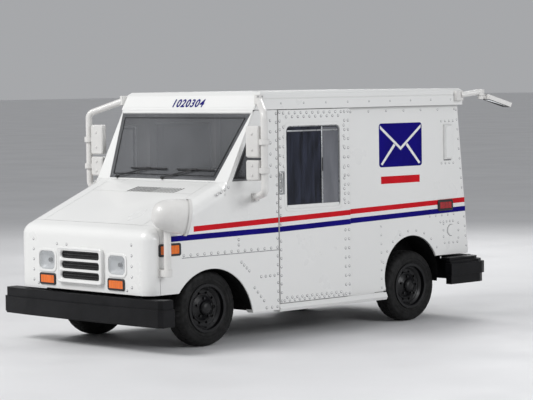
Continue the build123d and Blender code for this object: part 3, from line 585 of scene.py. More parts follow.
def side_rivets():
    for side, sign in SIDES.items():
        normal = (sign, 0, 0)
        x = sign * CAB_X
        cab = row((x, -330, 799), (x, 760, 799), 78)
        cab += row((x, 762, 340), (x, 762, 1960), 76)
        cab += row((x, 300, 850), (x, 300, 985), 45)
        cab += row((x, 330, 700), (x, 420, 620), 45) + row((x, 560, 560), (x, 720, 560), 52)
        cab += row((x, 480, 470), (x, 590, 350), 52) + row((x, 620, 285), (x, 750, 285), 65)
        cab += row((x, 60, 1290), (x, 190, 1345), 48) + row((x, 690, 1420), (x, 690, 1900), 96)
        domes(f"cab_rivets_{side}", clear_of_stripes(cab), normal, "chassis")
        front, rear, bottom, top = DOOR
        door = row((x, front + 16, bottom + 20), (x, front + 16, top - 20), 75)
        for inset in (22, 68):
            door += row((x, rear - inset, bottom + 24), (x, rear - inset, top - 24), 82)
        door += row((x, front + 60, top - 26), (x, rear - 110, top - 26), 72)
        door += row((x, front + 96, top - 60), (x, rear - 146, top - 60), 72)
        door += row((x, front + 50, bottom + 20), (x, rear - 100, bottom + 20), 64)
        door += row((x, front + 82, bottom + 44), (x, rear - 132, bottom + 44), 64)
        door += row((x, 1602, 1180), (x, 1602, 1840), 94)
        door += row((x, 850, 1500), (x, 850, 1840), 85)
        domes(f"door_rivets_{side}", clear_of_stripes(door), normal, f"{side}_door")
        x = sign * CARGO_X
        cargo = row((x, 1780, 949), (x, 3130, 966), 82)
        cargo += row((x, 2128, 345), (x, 2128, 905), 78)
        cargo += row((x, 1740, 1955), (x, 3150, 1955), 235)
        cargo += row((x, 2940, 900), (x, 3120, 902), 45) + row((x, 2985, 760), (x, 2985, 880), 60)
        cargo += row((x, 3195, 740), (x, 3195, 880), 70) + row((x, 3000, 700), (x, 3180, 700), 60)
        cargo += row((x, 2965, 1450), (x, 3130, 1450), 55) + row((x, 2965, 1845), (x, 3130, 1845), 55)
        arch = REAR_AXLE - 8
        for i in range(10):
            a = math.radians(20 + i * 15.5)
            cargo.append((x, arch + 420 * math.cos(a), 424 + 420 * math.sin(a)))
        cargo += [(x, rear_y(z) - 22, z) for z in range(660, 1960, 92)]
        domes(f"cargo_rivets_{side}", clear_of_stripes(cargo), normal, "chassis", radius=8.0, height=4.0)
        x = sign * ROOF_X
        domes(f"roof_rivets_{side}", row((x, 820, 2048), (x, 3040, 2048), 290), normal, "chassis",
              radius=7.0, height=3.0)


def fascia_rivets():
    points = []
    for sign in (-1, 1):
        points += row((sign * 655, NOSE_Y, 548), (sign * 655, NOSE_Y, 902), 88)
        points += row((sign * 592, NOSE_Y, 520), (sign * 592, NOSE_Y, 520), 50)
    points += row((-330, NOSE_Y, 872), (-200, NOSE_Y, 872), 130)
    domes("fascia_rivets", points, (0, -1, 0), "chassis")


def seams():
    """Lap joints: a line of painted shadow under the waist rivets, standing in for the step where the upper
    sheet laps over the lower, and thin bands of the upper sheet on the cargo side.
    """
    for side, sign in SIDES.items():
        place = facing(at(sign * CAB_X, 0, 0), (sign, 0, 0))
        # Painted shadow: a dark strip standing in for the step of the lap.
        decal(f"waist_seam_shadow_{side}", [(sign * u, v) for u,
                                     v in ((-352, 774), (774, 774), (774, 780), (-352, 780))],
              place, "chassis", SHADE_GREY, thick=0.4)
        place = facing(at(sign * CARGO_X, 0, 0), (sign, 0, 0))
        decal(f"cargo_lap_{side}", [(sign * u, v) for u,
                                    v in ((2108, 320), (2148, 320), (2148, 930), (2108, 930))],
              place, "chassis", WHITE, thick=0.3)
        decal(f"cargo_belt_{side}", [(sign * u, v) for u,
                                     v in ((1684, 936), (3300, 936), (3296, 982), (1684, 964))],
              place, "chassis", WHITE, thick=0.3)


# ---- windows ----
def screen_corners(grow):
    half_low, half_high = SCREEN_HALF
    return [(half_low + grow, -grow), (half_high + grow, SCREEN_HEIGHT + grow),
            (-half_high - grow, SCREEN_HEIGHT + grow),
            (-half_low - grow, -grow)]


def windows():
    place = facing(at(0, *SCREEN_FOOT), (0, -math.cos(SCREEN_ANGLE), math.sin(SCREEN_ANGLE)))
    bezel("windshield_seal", softened(screen_corners(3), 46), softened(screen_corners(-9), 38), 3, place,
          "chassis",
          SEAL, base=-6)
    quarter = ((232, 1392), (655, 1392), (655, 1852), (470, 1852))
    for side, sign in SIDES.items():
        place = facing(at(sign * CAB_X, 0, 0), (sign, 0, 0))
        middle_u = sum(p[0] for p in quarter) / 4
        middle_v = sum(p[1] for p in quarter) / 4
        outline = [(sign * (middle_u + (u - middle_u) * 1.03), middle_v + (v - middle_v) * 1.02) for u,
                   v in quarter]
        inner = [(sign * (middle_u + (u - middle_u) * 0.88), middle_v + (v - middle_v) * 0.93) for u,
                 v in quarter]
        bezel(f"quarter_seal_{side}", softened(outline, 26), softened(inner, 20), 5, place, "chassis", SEAL,
              base=-5)
        door_window(side, sign)


def door_window(side, sign):
    low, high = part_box(f"door_glass_{side}")
    width, height = (high.y - low.y) / MM, (high.z - low.z) / MM
    body = f"{side}_door"
    centre = Vector((sign * CAB_X * MM, (low.y + high.y) / 2, (low.z + high.z) / 2))
    place = facing(centre, (sign, 0, 0))
    bezel(f"door_window_reveal_{side}", rounded(width + 30, height + 30, 58),
          rounded(width - 22, height - 22, 44), 2.2,
          place, body, WHITE, base=-15)
    bezel(f"door_window_sash_{side}", rounded(width - 4, height - 4, 34),
          rounded(width - 40, height - 40, 34), -7,
          place, body, SASH, base=-16.5)
    split = (centre.y - AXLE.y) / MM + width * 0.17
    bar(f"door_sash_bar_{side}", (sign * (CAB_X - 16.5), split - 9, low.z / MM + 20),
        (sign * (CAB_X - 7), split + 9, high.z / MM - 20), body, SASH, soft=3)
    bar(f"door_rear_pane_{side}", (sign * (CAB_X - 16), split + 9, low.z / MM + 28),
        (sign * (CAB_X - 11.5), split + width * 0.3, high.z / MM - 28), body, PANE, soft=1)
    bar(f"door_sash_pull_{side}", (sign * (CAB_X - 8), split - 5, 1440),
        (sign * (CAB_X - 2), split + 5, 1560), body,
        SEAL, soft=2.5)
    bar(f"door_sash_end_{side}", (sign * (CAB_X - 16.5), split + width * 0.3, low.z / MM + 20),
        (sign * (CAB_X - 8), split + width * 0.33, high.z / MM - 20), body, SASH, soft=2)
    bar(f"door_window_sill_{side}", (sign * (CAB_X - 16), (low.y - AXLE.y) / MM + 24, low.z / MM + 6),
        (sign * (CAB_X - 4), (high.y - AXLE.y) / MM - 24, low.z / MM + 44), body, WHITE,
        soft=4)
    bar(f"door_sash_head_{side}", (sign * (CAB_X - 16), (low.y - AXLE.y) / MM + 30, high.z / MM - 62),
        (sign * (CAB_X - 9), (high.y - AXLE.y) / MM - 30, high.z / MM - 48), body, SASH,
        soft=2)
    recess = facing(at(sign * CAB_X, DOOR[0] + 35, 1355.5), (sign, 0, 0))
    bezel(f"door_pull_rim_{side}", rounded(70, 204, 12), rounded(46, 178, 10), 3.5, recess, body, SASH,
          base=-2)
    hold = [at(sign * (CAB_X - d), DOOR[0] + 35, z) for d,
            z in ((8, 1280), (1, 1292), (-1.5, 1320), (-1.5, 1392),
                                                               (1, 1420), (8, 1432))]
    tube(f"door_pull_{side}", hold, 6, body, SASH)


# ---- lamps ----
def headlamp(side, sign):
    place = facing(at(sign * HEADLAMP_X, NOSE_Y, HEADLAMP_Z), (0, -1, 0))
    bezel(f"headlamp_bezel_{side}", rounded(258, 204, 56), rounded(212, 158, 44), 7, place, "chassis",
          WHITE,
          base=-8)
    opening = rounded(214, 160, 44)
    layers = ((1.0, -8), (0.93, -16), (0.8, -28), (0.6, -38), (0.35, -45), (0.12, -48))
    loops = [([(u * s, v * s) for u, v in opening], h) for s, h in layers]
    count = len(opening)
    faces = bridged(count, len(loops)) + [tuple(range((len(loops) - 1) * count, len(loops) * count))]
    bowl = piece(f"headlamp_reflector_{side}", rings(loops, place), faces, "chassis", CHROME)
    pad(f"headlamp_lens_{side}", lambda inset: rounded(214 - 2 * inset, 160 - 2 * inset, 44 - inset), 1.5,
               place, "chassis", CLEAR, soft=6, base=-7, dome=3)
    bulb = facing(at(sign * HEADLAMP_X, NOSE_Y + 46, HEADLAMP_Z), (0, -1, 0))
    pad(f"headlamp_bulb_{side}", lambda inset: circle(19 - inset * 0.7), 22, bulb, "chassis", BLACK,
        soft=7, dome=5)
    return bowl


def lamps():
    bowls = [headlamp(side, sign) for side, sign in SIDES.items()]
    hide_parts("headlights")
    for side, sign in SIDES.items():
        place = facing(at(sign * 458, NOSE_Y, 562.5), (0, -1, 0))
        bezel(f"turn_bezel_{side}", rounded(216, 100, 18), rounded(176, 64, 8), 12.5, place, "chassis",
              BLACK)
        lens(f"turn_lens_{side}", 178, 66, place, AMBER, 8.2, 10.5)
        place = facing(at(sign * CAB_X, -486, 855), (sign, 0, 0))
        bezel(f"marker_bezel_{side}", rounded(246, 106, 18), rounded(200, 68, 8), 9, place, "chassis",
              BLACK)
        lens(f"marker_lens_{side}", 202, 70, place, AMBER, 4.2, 7)
        place = facing(at(sign * CARGO_X, 3007.5, 1055), (sign, 0, 0))
        bezel(f"rear_marker_bezel_{side}", rounded(210, 104, 20), rounded(158, 58, 8), 13, place, "chassis",
              BLACK)
        lens(f"rear_marker_lens_{side}", 160, 60, place, LENS_RED, 8.2, 11)
        tail_z = 970
        place = facing(at(sign * 740, rear_y(tail_z), tail_z), (0, 1, LEAN))
        bezel(f"tail_bezel_{side}", rounded(126, 250, 18), rounded(90, 212, 10), 17, place, "chassis",
              BLACK,
              base=-0.5)
        for z, colour, slot in ((-70, CLEAR, "clear_lens"), (0, AMBER, "amber_lens"),
                                (70, LENS_RED, "red_lens")):
            strip = place @ Matrix.Translation((0, z * MM, 0))
            lens(f"tail_lens_{side}_{z + 70}", 90, 68, strip, colour, 12.3, 14.5)


def lens(name, width, height, place, material, base, top):
    """A lamp lens with moulded upright ribs across its face."""
    ribs = max(6, round(width / 11))
    across = ribs * 4
    verts, faces = [], []
    for v in (-height / 2, height / 2):
        for i in range(across + 1):
            u = -width / 2 + width * i / across
            lift = top - 0.9 * (1 - math.cos(2 * math.pi * i / 4)) / 2
            verts.append(place @ Vector((u * MM, v * MM, lift * MM)))
    wide = across + 1
    faces += [(i, i + 1, wide + i + 1, wide + i) for i in range(across)]
    start = len(verts)
    edge = [(-width / 2, -height / 2), (width / 2, -height / 2), (width / 2, height / 2),
            (-width / 2, height / 2)]
    verts += [place @ Vector((u * MM, v * MM, base * MM)) for u, v in edge]
    faces += [(start, start + 1, across, 0), (start + 1, start + 2, wide + across, across),
              (start + 2, start + 3, wide, wide + across), (start + 3, start, 0, wide)]
    return piece(name, verts, faces, "chassis", material)


def collar(name, outer, inner, profile, place, body, material):
    loops = [(mixed(outer, inner, t), h) for t, h in profile]
    return piece(name, rings(loops, place), bridged(len(outer), len(loops)), body, material)


def grille():
    low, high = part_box("grille")
    width, height = (high.x - low.x) / MM, (high.z - low.z) / MM
    z = (low.z + high.z) / 2 / MM
    place = facing(at(0, NOSE_Y, z), (0, -1, 0))
    face = width - 54, height - 46
    rim = collar("grille_rim", rounded(width + 4, height + 4, 36), rounded(*face, 0.01),
                 ((0, 0.2), (0, 22), (0.2, 31), (0.5, 34.5), (0.8, 33), (1, 28)), place, "chassis", WHITE)
    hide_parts("grille")
    pitch = face[1] / 3
    for k in range(3):
        slot = place @ Matrix.Translation((0, (k - 1) * pitch * MM, 0))
        collar(f"grille_bar_{k + 1}", rounded(face[0], pitch, 0.01), rounded(face[0] - 34, pitch - 24, 60),
               ((0, 28), (0.35, 29), (0.75, 25), (1, 15), (1, 1)), slot, "chassis", WHITE)
    pad("grille_shadow", lambda inset: rounded(width - 30 - inset, height - 30 - inset, 10), 3, place,
        "chassis", DARK,
        soft=1)
    fins = 12
    for k in range(fins):
        foot = low.z / MM + 22 + (height - 46) / fins * k
        bar(f"grille_fin_{k + 1}", (-262, NOSE_Y - 9, foot), (262, NOSE_Y - 5, foot + 7), "chassis", BLACK,
            soft=0.8)


def cowl_vents():
    corners = [(-220, -37), (485, -37), (485, 60), (-220, 60)]
    verts = [at(x, y, hood_z(y) - d) for d in (9, 13) for x, y in corners]
    faces = bridged(4, 2) + [(0, 1, 2, 3), (4, 5, 6, 7)]
    piece("cowl_vent_shadow", verts, faces, "chassis", DARK, smooth=False)
    run = math.hypot(1, HOOD_SLOPE)
    place = facing(at(0, 0, hood_z(0)), (0, -HOOD_SLOPE, 1), (0, 1, 0))
    for k in range(16):
        x = -201 + 40 * k
        width = 22 if k < 8 else 13
        slot = [(x, -37 * run), (x + width, -37 * run), (x + 58 + width, 50 * run), (x + 58, 50 * run)]
        decal(f"cowl_slot_{k + 1}", slot, place, "chassis", DARK, thick=0.5)


# ---- liners and fairings ----
def arch_liner(name, x0, x1, centre, radius, first, last):
    """A curved sheet inside a wheel arch, from x0 to x1, between two angles from the rear horizontal."""
    steps = 28
    verts = []
    for r in (radius, radius + 3):
        for x in (x0, x1):
            for k in range(steps + 1):
                a = math.radians(first + (last - first) * k / steps)
                verts.append(at(x, centre[0] + r * math.cos(a), centre[1] + r * math.sin(a)))
    wide = steps + 1
    faces = []
    for k in range(steps):
        for a, b in ((0, 1), (2, 3), (0, 2), (1, 3)):
            faces.append((a * wide + k, a * wide + k + 1, b * wide + k + 1, b * wide + k))
    return piece(name, verts, faces, "chassis", LINER)


def wall(name, x, outline):
    verts = [at(d, y, z) for d in (x, x + math.copysign(3, x)) for y, z in outline]
    count = len(outline)
    faces = bridged(count, 2) + [tuple(range(count)), tuple(range(count, 2 * count))]
    return piece(name, verts, faces, "chassis", LINER, smooth=False)


def arc_points(centre, radius, first, last, steps=16):
    angles = [math.radians(first + (last - first) * k / steps) for k in range(steps + 1)]
    return [(centre[0] + radius * math.cos(a), centre[1] + radius * math.sin(a)) for a in angles]


def liners():
    for side, sign in SIDES.items():
        arch_liner(f"front_liner_{side}", sign * 436, sign * 786, FRONT_ARCH, 488, 9, 168)
        arch_liner(f"front_lip_liner_{side}", sign * 792, sign * 858, FRONT_ARCH, 471.5, 11, 166)
        wall(f"front_liner_wall_{side}", sign * 433, arc_points(FRONT_ARCH, 490, 36, 144))
        wall(f"front_liner_heel_{side}", sign * 433,
             [(205, 268), (436, 268), (400, 380), (352, 468), (205, 468)])
        arch_liner(f"rear_liner_{side}", sign * 562, sign * 805, REAR_ARCH, 364, -12, 192)
        wall(f"rear_liner_wall_{side}", sign * 559, arc_points(REAR_ARCH, 366, 10, 170))


def fairings():
    """White trim that closes the joints at the windshield's foot and head."""
    foot_y, edge_r = 142, NOSE_EDGE_R
    loops = []
    for i in range(-24, 25):
        x = 866 * math.sin(math.pi / 2 * i / 24)
        over = max(0.0, abs(x) - (CAB_X - edge_r))
        front = hood_z(foot_y) - (edge_r - math.sqrt(max(0.0, edge_r ** 2 - over ** 2)))
        profile = ((foot_y, front - 10), (foot_y, front + 1), (158, (front + 1386) / 2 + 1), (181, 1388),
                   (183.5, 1388),
                   (180, 1372), (170, 1350))
        loops.append([at(x, y, z) for y, z in profile])
    verts = [v for loop in loops for v in loop]
    count = len(loops[0])
    faces = bridged(count, len(loops)) + [tuple(range(count)), tuple(range(len(verts) - count, len(verts)))]
    piece("cowl_fairing", verts, faces, "chassis", WHITE)
    place = facing(at(0, *SCREEN_FOOT), (0, -math.cos(SCREEN_ANGLE), math.sin(SCREEN_ANGLE)))
    verts = [place @ Vector((x * MM, v * MM, n * MM)) for x in (-862, 862)
             for v, n in ((646, 0.3), (646, 1.5), (668, 5.0), (694, 9.0), (694, 7.4), (668, 0.3))]
    faces = bridged(6, 2) + [tuple(range(6)), tuple(range(6, 12))]
    piece("header_fairing", verts, faces, "chassis", WHITE)


def cargo_fittings():
    """The rounded edges of the rear vent box with a strip of painted shadow under it, and a ring of painted
    shade round the fuel filler.
    """
    for side, sign in SIDES.items():
        place = facing(at(sign * (CARGO_X + 23.9), 3047.5, 1647.5), (sign, 0, 0))
        pad(f"vent_box_cap_{side}", lambda inset: rounded(96 - 2 * inset, 306 - 2 * inset, 30), 7, place,
            "chassis",
            WHITE, soft=7)
        # Painted shadow under the box.
        foot = facing(at(sign * CARGO_X, 3047.5, 1478), (sign, 0, 0))
        decal(f"vent_box_shadow_{side}", rounded(104, 12, 5), foot, "chassis", SHADE_GREY)
    # Painted shade in the gap round the filler door.
    place = facing(at(CARGO_X, 3090, 815), (1, 0, 0))
    bezel("fuel_filler_shade_ring", circle(56), circle(51), 1.2, place, "chassis", SHADE_GREY)


# ---- wheels ----
def tyre_profile():
    """Across the tyre from bead to bead as (distance along X, radius), with four tread grooves."""
    side = [(614, 190.2), (614, 208), (603, 226), (598.6, 250), (598, 280), (603, 298), (612, 310),
            (626, 319),
            (641, 323.8)]
    tread = [(651, TYRE_R)]
    for centre in (661, 684, 710, 733):
        tread += [(centre - 4.5, TYRE_R), (centre - 3.5, TYRE_R - 8), (centre + 3.5, TYRE_R - 8),
                  (centre + 4.5, TYRE_R)]
    tread.append((743, TYRE_R))
    outer = [(753, 323.8), (768, 319), (782, 310), (790, 300), (792.5, 297), (793.5, 292), (796, 286),
             (796.2, 262),
             (797.6, 260), (797.6, 256), (795.6, 254), (795, 240), (796.2, 238), (796.2, 234), (793, 231),
             (790, 224),
             (780, 208), (780, 190.2)]
    return side + tread + outer


def tyre(place, side, sign):
    node = f"tyre_{place}_{side}"
    centre = middle(node)
    profile = tyre_profile()
    steps = 216
    verts = []
    for x, radius in profile:
        shoulder = abs(x - 697) > 40 and radius > 305
        for i in range(steps):
            a = 2 * math.pi * i / steps
            cut = 7.0 if shoulder and i % 6 == 0 else 0.0
            cut += 4.0 if not shoulder and radius == TYRE_R and i % 6 == 3 else 0.0
            r = (radius - cut) * MM
            verts.append(Vector((sign * x * MM, centre.y + r * math.cos(a), centre.z + r * math.sin(a))))
    made = piece(node + "_rubber", verts, bridged(steps, len(profile), wrap=True), f"wheel_{place}_{side}",
                 RUBBER)
    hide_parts(node)
    hub = [(748, 55), (770, 55), (781, 52), (788, 44), (793, 30), (795.5, 14), (796, 0.5)]
    turned(f"hub_cap_{place}_{side}", hub, centre, f"wheel_{place}_{side}", RIM, steps=48,
           flip=sign)
    turned(f"brake_disc_{place}_{side}", [(668, 44), (668, 168), (671, 171), (676, 171), (679, 168),
                                          (679, 44)], centre,
           f"wheel_{place}_{side}", CHASSIS, steps=64, flip=sign)
    for radius, x, thick in ((120, 727.5, 3.5), (158, 738, 3.0), (186, 790, 3.5)):
        ring = [Vector((sign * x * MM, centre.y + radius * MM * math.cos(a),
                        centre.z + radius * MM * math.sin(a)))
                for a in (2 * math.pi * i / 72 for i in range(72))]
        tube(f"rim_bead_{place}_{side}_{radius}", ring, thick, f"wheel_{place}_{side}", RIM,
             closed=True)
    valve = [centre + Vector((sign * x * MM - centre.x, 0, -r * MM)) for x,
             r in ((752, 168), (768, 166), (780, 160))]
    tube(f"valve_{place}_{side}", valve, 4, f"wheel_{place}_{side}", SEAL)


def wheels():
    for place in ("front", "rear"):
        for side, sign in SIDES.items():
            tyre(place, side, sign)


# ---- mirrors ----
def mirrors():
    for side, sign in SIDES.items():
        body = f"{side}_mirrors"
        head_x = sign * MIRROR_HEAD_X
        for label, z, height in (("upper", 1728, 252), ("lower", 1485, 156)):
            place = facing(at(head_x, 363, z), (0, 1, 0))
            bezel(f"mirror_gasket_{label}_{side}", rounded(156, height + 4, 24),
                  rounded(136, height - 16, 18), 4,
                  place, body, SEAL)
            pad(f"mirror_glass_{label}_{side}", lambda inset,
                h=height: rounded(140 - inset, h - 12 - inset, 18), 2.2,
                place, body, MIRROR, soft=0.6)
            front = [(head_x, 313, z + k * height * 0.27) for k in (-1, 1)]
            domes(f"mirror_bolts_{label}_{side}", front, (0, -1, 0), body, radius=13, height=8,
                  material=FITTING)
        feet = [(sign * 896, y, z) for y in (470, 510) for z in (1226, 1268)]
        feet += [(sign * 905, y, z) for y in (515, 565) for z in (2056, 2108)]
        domes(f"mirror_foot_bolts_{side}", feet, (sign, 0, 0), "chassis", radius=8, height=5,
              material=STEEL)
    crossview_glass()
    rear_glass()


def crossview_glass():
    yaw, tilt = math.radians(30), math.radians(-8)
    look = Vector((math.sin(yaw) * math.cos(tilt), math.cos(yaw) * math.cos(tilt), math.sin(tilt)))
    rim = at(*CROSSVIEW_BOWL) + look * 0.175
    place = facing(rim - look * 0.012, look)
    layers = [(134 * math.sin(t), 60 * (math.cos(t) - 1) + 22)
              for t in (math.pi / 2 * k / 8 * 0.72 for k in range(9))]
    scale = 134 / layers[-1][0]
    loops = [(circle(max(0.5, r * scale), 48), h) for r, h in reversed(layers)]
    faces = bridged(48, len(loops)) + [tuple(range((len(loops) - 1) * 48, len(loops) * 48))]
    piece("crossview_glass", rings(loops, place), faces, "crossview", MIRROR)
    bezel("crossview_gasket", circle(153, 48), circle(131, 48), 5, facing(rim, look), "crossview", FITTING,
          base=-22)
    bolts = [(CAB_X + 8, y, z) for y in (-607, -527) for z in (646, 694)]
    domes("crossview_bolts", bolts, (1, 0, 0), "chassis", radius=7, height=5, material=FITTING)


def rear_glass():
    yaw, tilt = math.radians(60), math.radians(20)
    out = Vector((math.cos(yaw), math.sin(yaw), 0))
    normal = -(out * math.sin(tilt) + Vector((0, 0, math.cos(tilt))))
    reach, drop, half = REAR_PLATE
    centre = at(*REAR_MIRROR_FOOT) + out * reach * MM + Vector((0, 0, drop * MM))
    place = facing(centre + normal * half * MM, normal, tuple(out))
    pad("rear_mirror_glass", lambda inset: rounded(166 - inset, 206 - inset, 22), 2.5, place, "rear_view",
        MIRROR,
        soft=0.8)
    bezel("rear_mirror_gasket", rounded(184, 226, 26), rounded(162, 202, 20), 4, place, "rear_view", SEAL)


# ---- cab interior ----
def dash_details():
    # The dash top in painted light.
    bar("dash_top_painted_light", (-792, 256, 1386.2), (792, 594, 1391.5), "chassis", DASH_LIT_TOP,
        soft=2.4)
    for k, (x, radius) in enumerate(((-470, 50), (-345, 50), (-408, 18))):
        place = facing(at(x, 630, 1322 if k < 2 else 1276), (0, 1, 0))
        pad(f"dial_{k + 1}", lambda inset, r=radius: circle(r - inset), 2.5, place, "chassis", DIAL,
            soft=1)
        bezel(f"dial_ring_{k + 1}", circle(radius + 4), circle(radius - 3), 6, place, "chassis", SASH)
        if k < 2:
            for i in range(11):
                a = math.radians(225 - 27 * i)
                tick = place @ Matrix.Rotation(a, 4, "Z") @ Matrix.Translation((0.038, 0, 0.0026))
                decal(f"dial_tick_{k + 1}_{i + 1}", [(-4, -1), (5, -1), (5, 1), (-4, 1)], tick, "chassis",
                      RIVET,
                      thick=0.4)
            needle = place @ Matrix.Rotation(math.radians(225), 4, "Z") @ Matrix.Translation((0, 0, 0.003))
            decal(f"dial_needle_{k + 1}", [(-6, -1.6), (34, -0.5), (34, 0.5), (-6, 1.6)], needle, "chassis",
                  AMBER,
                  thick=0.5)
    for x in (-700, -120, 120, 640):
        place = facing(at(x, 600, 1340), (0, 1, 0))
        bezel(f"air_vent_{x + 800}", rounded(130, 52, 10), rounded(112, 36, 6), 4, place, "chassis", BLACK)
        for k in range(4):
            bar(f"air_vane_{x + 800}_{k + 1}", (x - 54, 600, 1327 + 8 * k), (x + 54, 602.5, 1329.5 + 8 * k),
                "chassis",
                BLACK, soft=0.6)
    column = Vector((0, math.cos(COLUMN_TILT), math.sin(COLUMN_TILT)))
    root = at(*STEERING_HUB) - column * 0.085
    for label, sign in (("turn", 1), ("gear", -1)):
        points = [root + Vector((sign * x * MM, 0, z * MM)) for x,
                  z in ((30, 0), (90, 12), (150, 30), (176, 38))]
        tube(f"column_stalk_{label}", points, 5.5, "chassis", BLACK)
        tube(f"column_knob_{label}", [points[-1], points[-1] + Vector((sign * 0.024, 0, 0.005))], 9.5,
             "chassis",
             BLACK)
    hub = facing(at(*STEERING_HUB) + column * 0.004, column)
    pad("horn_pad", lambda inset: circle(38 - inset), 9, hub, "steering", BLACK, soft=4,
        dome=3)
    pedal = facing(at(-380, 532, 670), (0, 1, 0))
    pad("pedal_rubber", lambda inset: rounded(84 - inset, 62 - inset, 8), 5, pedal, "brake", SEAL,
        soft=2)
    for k in range(5):
        place = pedal @ Matrix.Translation((0, (-22 + 11 * k) * MM, 0.005))
        pad(f"pedal_rib_{k + 1}", lambda inset: rounded(74 - inset, 5 - inset, 2), 2, place, "brake", SEAL,
            soft=0.6)


def roof_details():
    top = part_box("roof")[1].z / MM
    for k, x in enumerate((-560, -280, 0, 280, 560)):
        place = facing(at(x, 1830, top), (0, 0, 1), (0, 1, 0))
        pad(f"roof_bead_{k + 1}", lambda inset: rounded(44 - 2 * inset, 2300 - 2 * inset, 22), 0.9, place,
            "chassis",
            WHITE, soft=0.8)
    for side, sign in SIDES.items():
        seam = row((sign * 838, 640, top), (sign * 838, 3150, top), 120)
        domes(f"roof_edge_rivets_{side}", seam, (0, 0, 1), "chassis", radius=5.5, height=0.9)


def rear_details():
    """The shutter's pull, its slat rivets, the step tread on the bumper and the two number plate lamps."""
    normal = (0, 1, LEAN)
    for z in (760, 1160, 1560):
        domes(f"shutter_rivets_{z}", [(x, rear_y(z) - 6, z) for x in range(-620, 621, 155)], normal,
              "curtain",
              radius=5, height=2)
    grip = [at(x, rear_y(740) + d, 742) for x,
            d in ((-150, -6), (-150, 16), (-136, 26), (136, 26), (150, 16), (150, -6))]
    tube("shutter_pull", grip, 8, "curtain", BLACK)
    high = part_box("rear_bumper")[1]
    top = high.z / MM
    y0 = (high.y - AXLE.y) / MM - 96
    for k in range(3):
        bar(f"step_tread_{k + 1}", (-780, y0 + 22 * k, top - 1), (780, y0 + 22 * k + 10, top + 3),
            "chassis", SEAL,
            soft=1.2)
    for x in (-60, 60):
        place = facing(at(x, 3457, 420), (0, 1, 0))
        bezel(f"plate_lamp_{x + 60}", rounded(60, 28, 6), rounded(44, 14, 4), 2.5, place, "chassis", BLACK,
              base=-1)
        pad(f"plate_lamp_glass_{x + 60}", lambda inset: rounded(46 - inset, 16 - inset, 4), 1.8, place,
            "chassis",
            CLEAR, soft=0.6)


# ---- the driver's seat ----
PRESSURE = 4.0
SWELL = 0.014
VOXEL = 0.006
PAD_INSET = 0.010


def puffed(name, low, high, cut):
    """A closed pad inside the given box, swollen by a cloth simulation and then held to a small movement."""
    mesh = bpy.data.meshes.new(name)
    work = bmesh.new()
    size = high - low - Vector((cut,) * 3) * 2
    bmesh.ops.create_cube(work, size=1.0,
                          matrix=Matrix.Translation((low + high) / 2) @ Matrix.Diagonal((*size, 1)))
    bmesh.ops.bevel(work, geom=work.edges, offset=0.022, segments=4, profile=0.5, affect="EDGES")
    work.to_mesh(mesh)
    work.free()
    obj = bpy.data.objects.new(name, mesh)
    SCENE.collection.objects.link(obj)
    remesh = obj.modifiers.new("remesh", "REMESH")
    remesh.mode = "VOXEL"
    remesh.voxel_size = VOXEL
    bake(obj)
    rest = [v.co.copy() for v in obj.data.vertices]
    cloth = obj.modifiers.new("cloth", "CLOTH")
    cloth.settings.quality = 5
    cloth.settings.mass = 0.3
    cloth.settings.tension_stiffness = 12
    cloth.settings.compression_stiffness = 12
    cloth.settings.bending_stiffness = 0.8
    cloth.settings.use_pressure = True
    cloth.settings.uniform_pressure_force = PRESSURE
    cloth.settings.effector_weights.gravity = 0
    for step in range(1, 21):
        SCENE.frame_set(step)
    bake(obj)
    SCENE.frame_set(1)
    for vertex, start in zip(obj.data.vertices, rest):
        moved = vertex.co - start
        if moved.length > SWELL:
            vertex.co = start + moved.normalized() * SWELL
    return obj


def bake(obj):
    graph = bpy.context.evaluated_depsgraph_get()
    mesh = bpy.data.meshes.new_from_object(obj.evaluated_get(graph))
    obj.modifiers.clear()
    obj.data = mesh


def sewn(obj, low, high, face_axis, face_sign, lines, depth=0.009, width=0.007):
    """Presses sewn channels into one face, keeps the far face flat, and holds the pad in its box."""
    for vertex in obj.data.vertices:
        co = vertex.co
        share = (co[face_axis] - low[face_axis]) / (high[face_axis] - low[face_axis])
        share = share if face_sign > 0 else 1 - share
        if share > 0.45:
            for axis, value in lines:
                gap = (co[axis] - value) / width
                co[face_axis] -= face_sign * depth * math.exp(-gap * gap) * min(1.0, (share - 0.45) * 4)
        for axis in range(3):
            co[axis] = min(max(co[axis], low[axis]), high[axis])
    obj.data.polygons.foreach_set("use_smooth", [True] * len(obj.data.polygons))
    finer = obj.modifiers.new("finer", "SUBSURF")
    finer.levels = finer.render_levels = 1


def seat():
    low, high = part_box("seat_cushion")
    x0, x1 = low.x, high.x
    pad_low = puffed("seat_pad", low, high, PAD_INSET)
    across = [(1, low.y + (high.y - low.y) * k / 4) for k in (1, 2, 3)]
    sewn(pad_low, low, high, 2, 1, across + [(0, x0 + 0.06), (0, x1 - 0.06)])
    settle(pad_low, "seat", VINYL)
    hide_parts("seat_cushion")
    low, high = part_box("seat_back")
    back = puffed("seat_backrest", low, high, PAD_INSET)
    across = [(2, low.z + (high.z - low.z) * k / 5) for k in (1, 2, 3, 4)]
    sewn(back, low, high, 1, -1, across + [(0, low.x + 0.06), (0, high.x - 0.06)])
    settle(back, "seat", VINYL)
    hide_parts("seat_back")
    piping("seat_piping_low", "seat_cushion", 2)
    piping("seat_piping_back", "seat_back", 1)


def piping(name, node, axis):
    """A sewn cord of trim round the pad's edge, on its middle plane."""
    low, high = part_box(node)
    centre = (low + high) / 2
    size = high - low
    flat = [k for k in range(3) if k != axis]
    outline = rounded(size[flat[0]] / MM - 7, size[flat[1]] / MM - 7, 46, steps=8)
    points = []
    for u, v in outline:
        point = centre.copy()
        point[flat[0]] += u * MM
        point[flat[1]] += v * MM
        points.append(point)
    tube(name, points, 3.5, "seat", PIPING, closed=True)


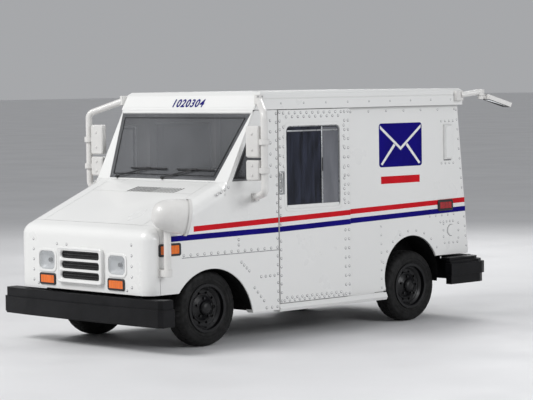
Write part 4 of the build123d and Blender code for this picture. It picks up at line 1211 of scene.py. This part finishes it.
# ---- stage, light and camera ----
def stage():
    mesh = bpy.data.meshes.new("floor")
    reach = FLOOR_REACH
    mesh.from_pydata([(-reach, -reach, 0), (reach, -reach, 0), (reach, reach, 0), (-reach, reach, 0)], [],
                     [(0, 1, 2, 3)])
    floor = bpy.data.objects.new("floor", mesh)
    SCENE.collection.objects.link(floor)
    mesh.materials.append(surface("floor_paint", (0.74, 0.74, 0.745), 0.6, mottle=(0.4, 0.03),
                                  grain=(30.0, 0.1)))
    world = bpy.data.worlds.new("studio")
    world.use_nodes = True
    world.node_tree.nodes["Background"].inputs["Color"].default_value = WORLD_COLOUR
    world.node_tree.nodes["Background"].inputs["Strength"].default_value = WORLD_STRENGTH
    SCENE.world = world
    SCENE.view_settings.view_transform = "Standard"


def soft_light(name, place, size, power, colour=(1, 1, 1)):
    data = bpy.data.lights.new(name, "AREA")
    data.shape = "RECTANGLE"
    data.size, data.size_y = size
    data.energy = power
    data.color = colour
    lamp = bpy.data.objects.new(name, data)
    SCENE.collection.objects.link(lamp)
    lamp.location = place
    lamp.rotation_euler = (Vector((0, 0, 1.0)) - Vector(place)).to_track_quat("-Z", "Y").to_euler()


def lights():
    soft_light("key", (-2.5, -9.0, 8.5), (6, 4), 900)
    soft_light("fill", (12.0, 1.0, 5.5), (7, 4), 520, (0.97, 0.98, 1.0))
    soft_light("back", (-6.0, 9.0, 7.0), (8, 4), 500)


def camera():
    azimuth, elevation, roll = (math.radians(a) for a in CAMERA_ANGLES)
    back = Vector((math.sin(azimuth) * math.cos(elevation), -math.cos(azimuth) * math.cos(elevation),
                   math.sin(elevation)))
    right = (-back).cross(Vector((0, 0, 1))).normalized()
    up = right.cross(-back)
    across = right * math.cos(roll) + up * math.sin(roll)
    upright = -right * math.sin(roll) + up * math.cos(roll)
    data = bpy.data.cameras.new("camera")
    data.sensor_width = SENSOR_WIDTH
    data.lens = FOCAL_LENGTH
    data.clip_end = 600.0
    view = bpy.data.objects.new("camera", data)
    SCENE.collection.objects.link(view)
    matrix = Matrix((across, upright, back)).transposed().to_4x4()
    matrix.translation = at(*CAMERA_TARGET) + back * CAMERA_DISTANCE
    view.matrix_world = matrix
    SCENE.camera = view


dress_cad_nodes()
stripes()
emblem()
fleet_number()
side_rivets()
fascia_rivets()
seams()
windows()
lamps()
grille()
cowl_vents()
liners()
fairings()
cargo_fittings()
wheels()
mirrors()
dash_details()
roof_details()
rear_details()
seat()
stage()
lights()
camera()
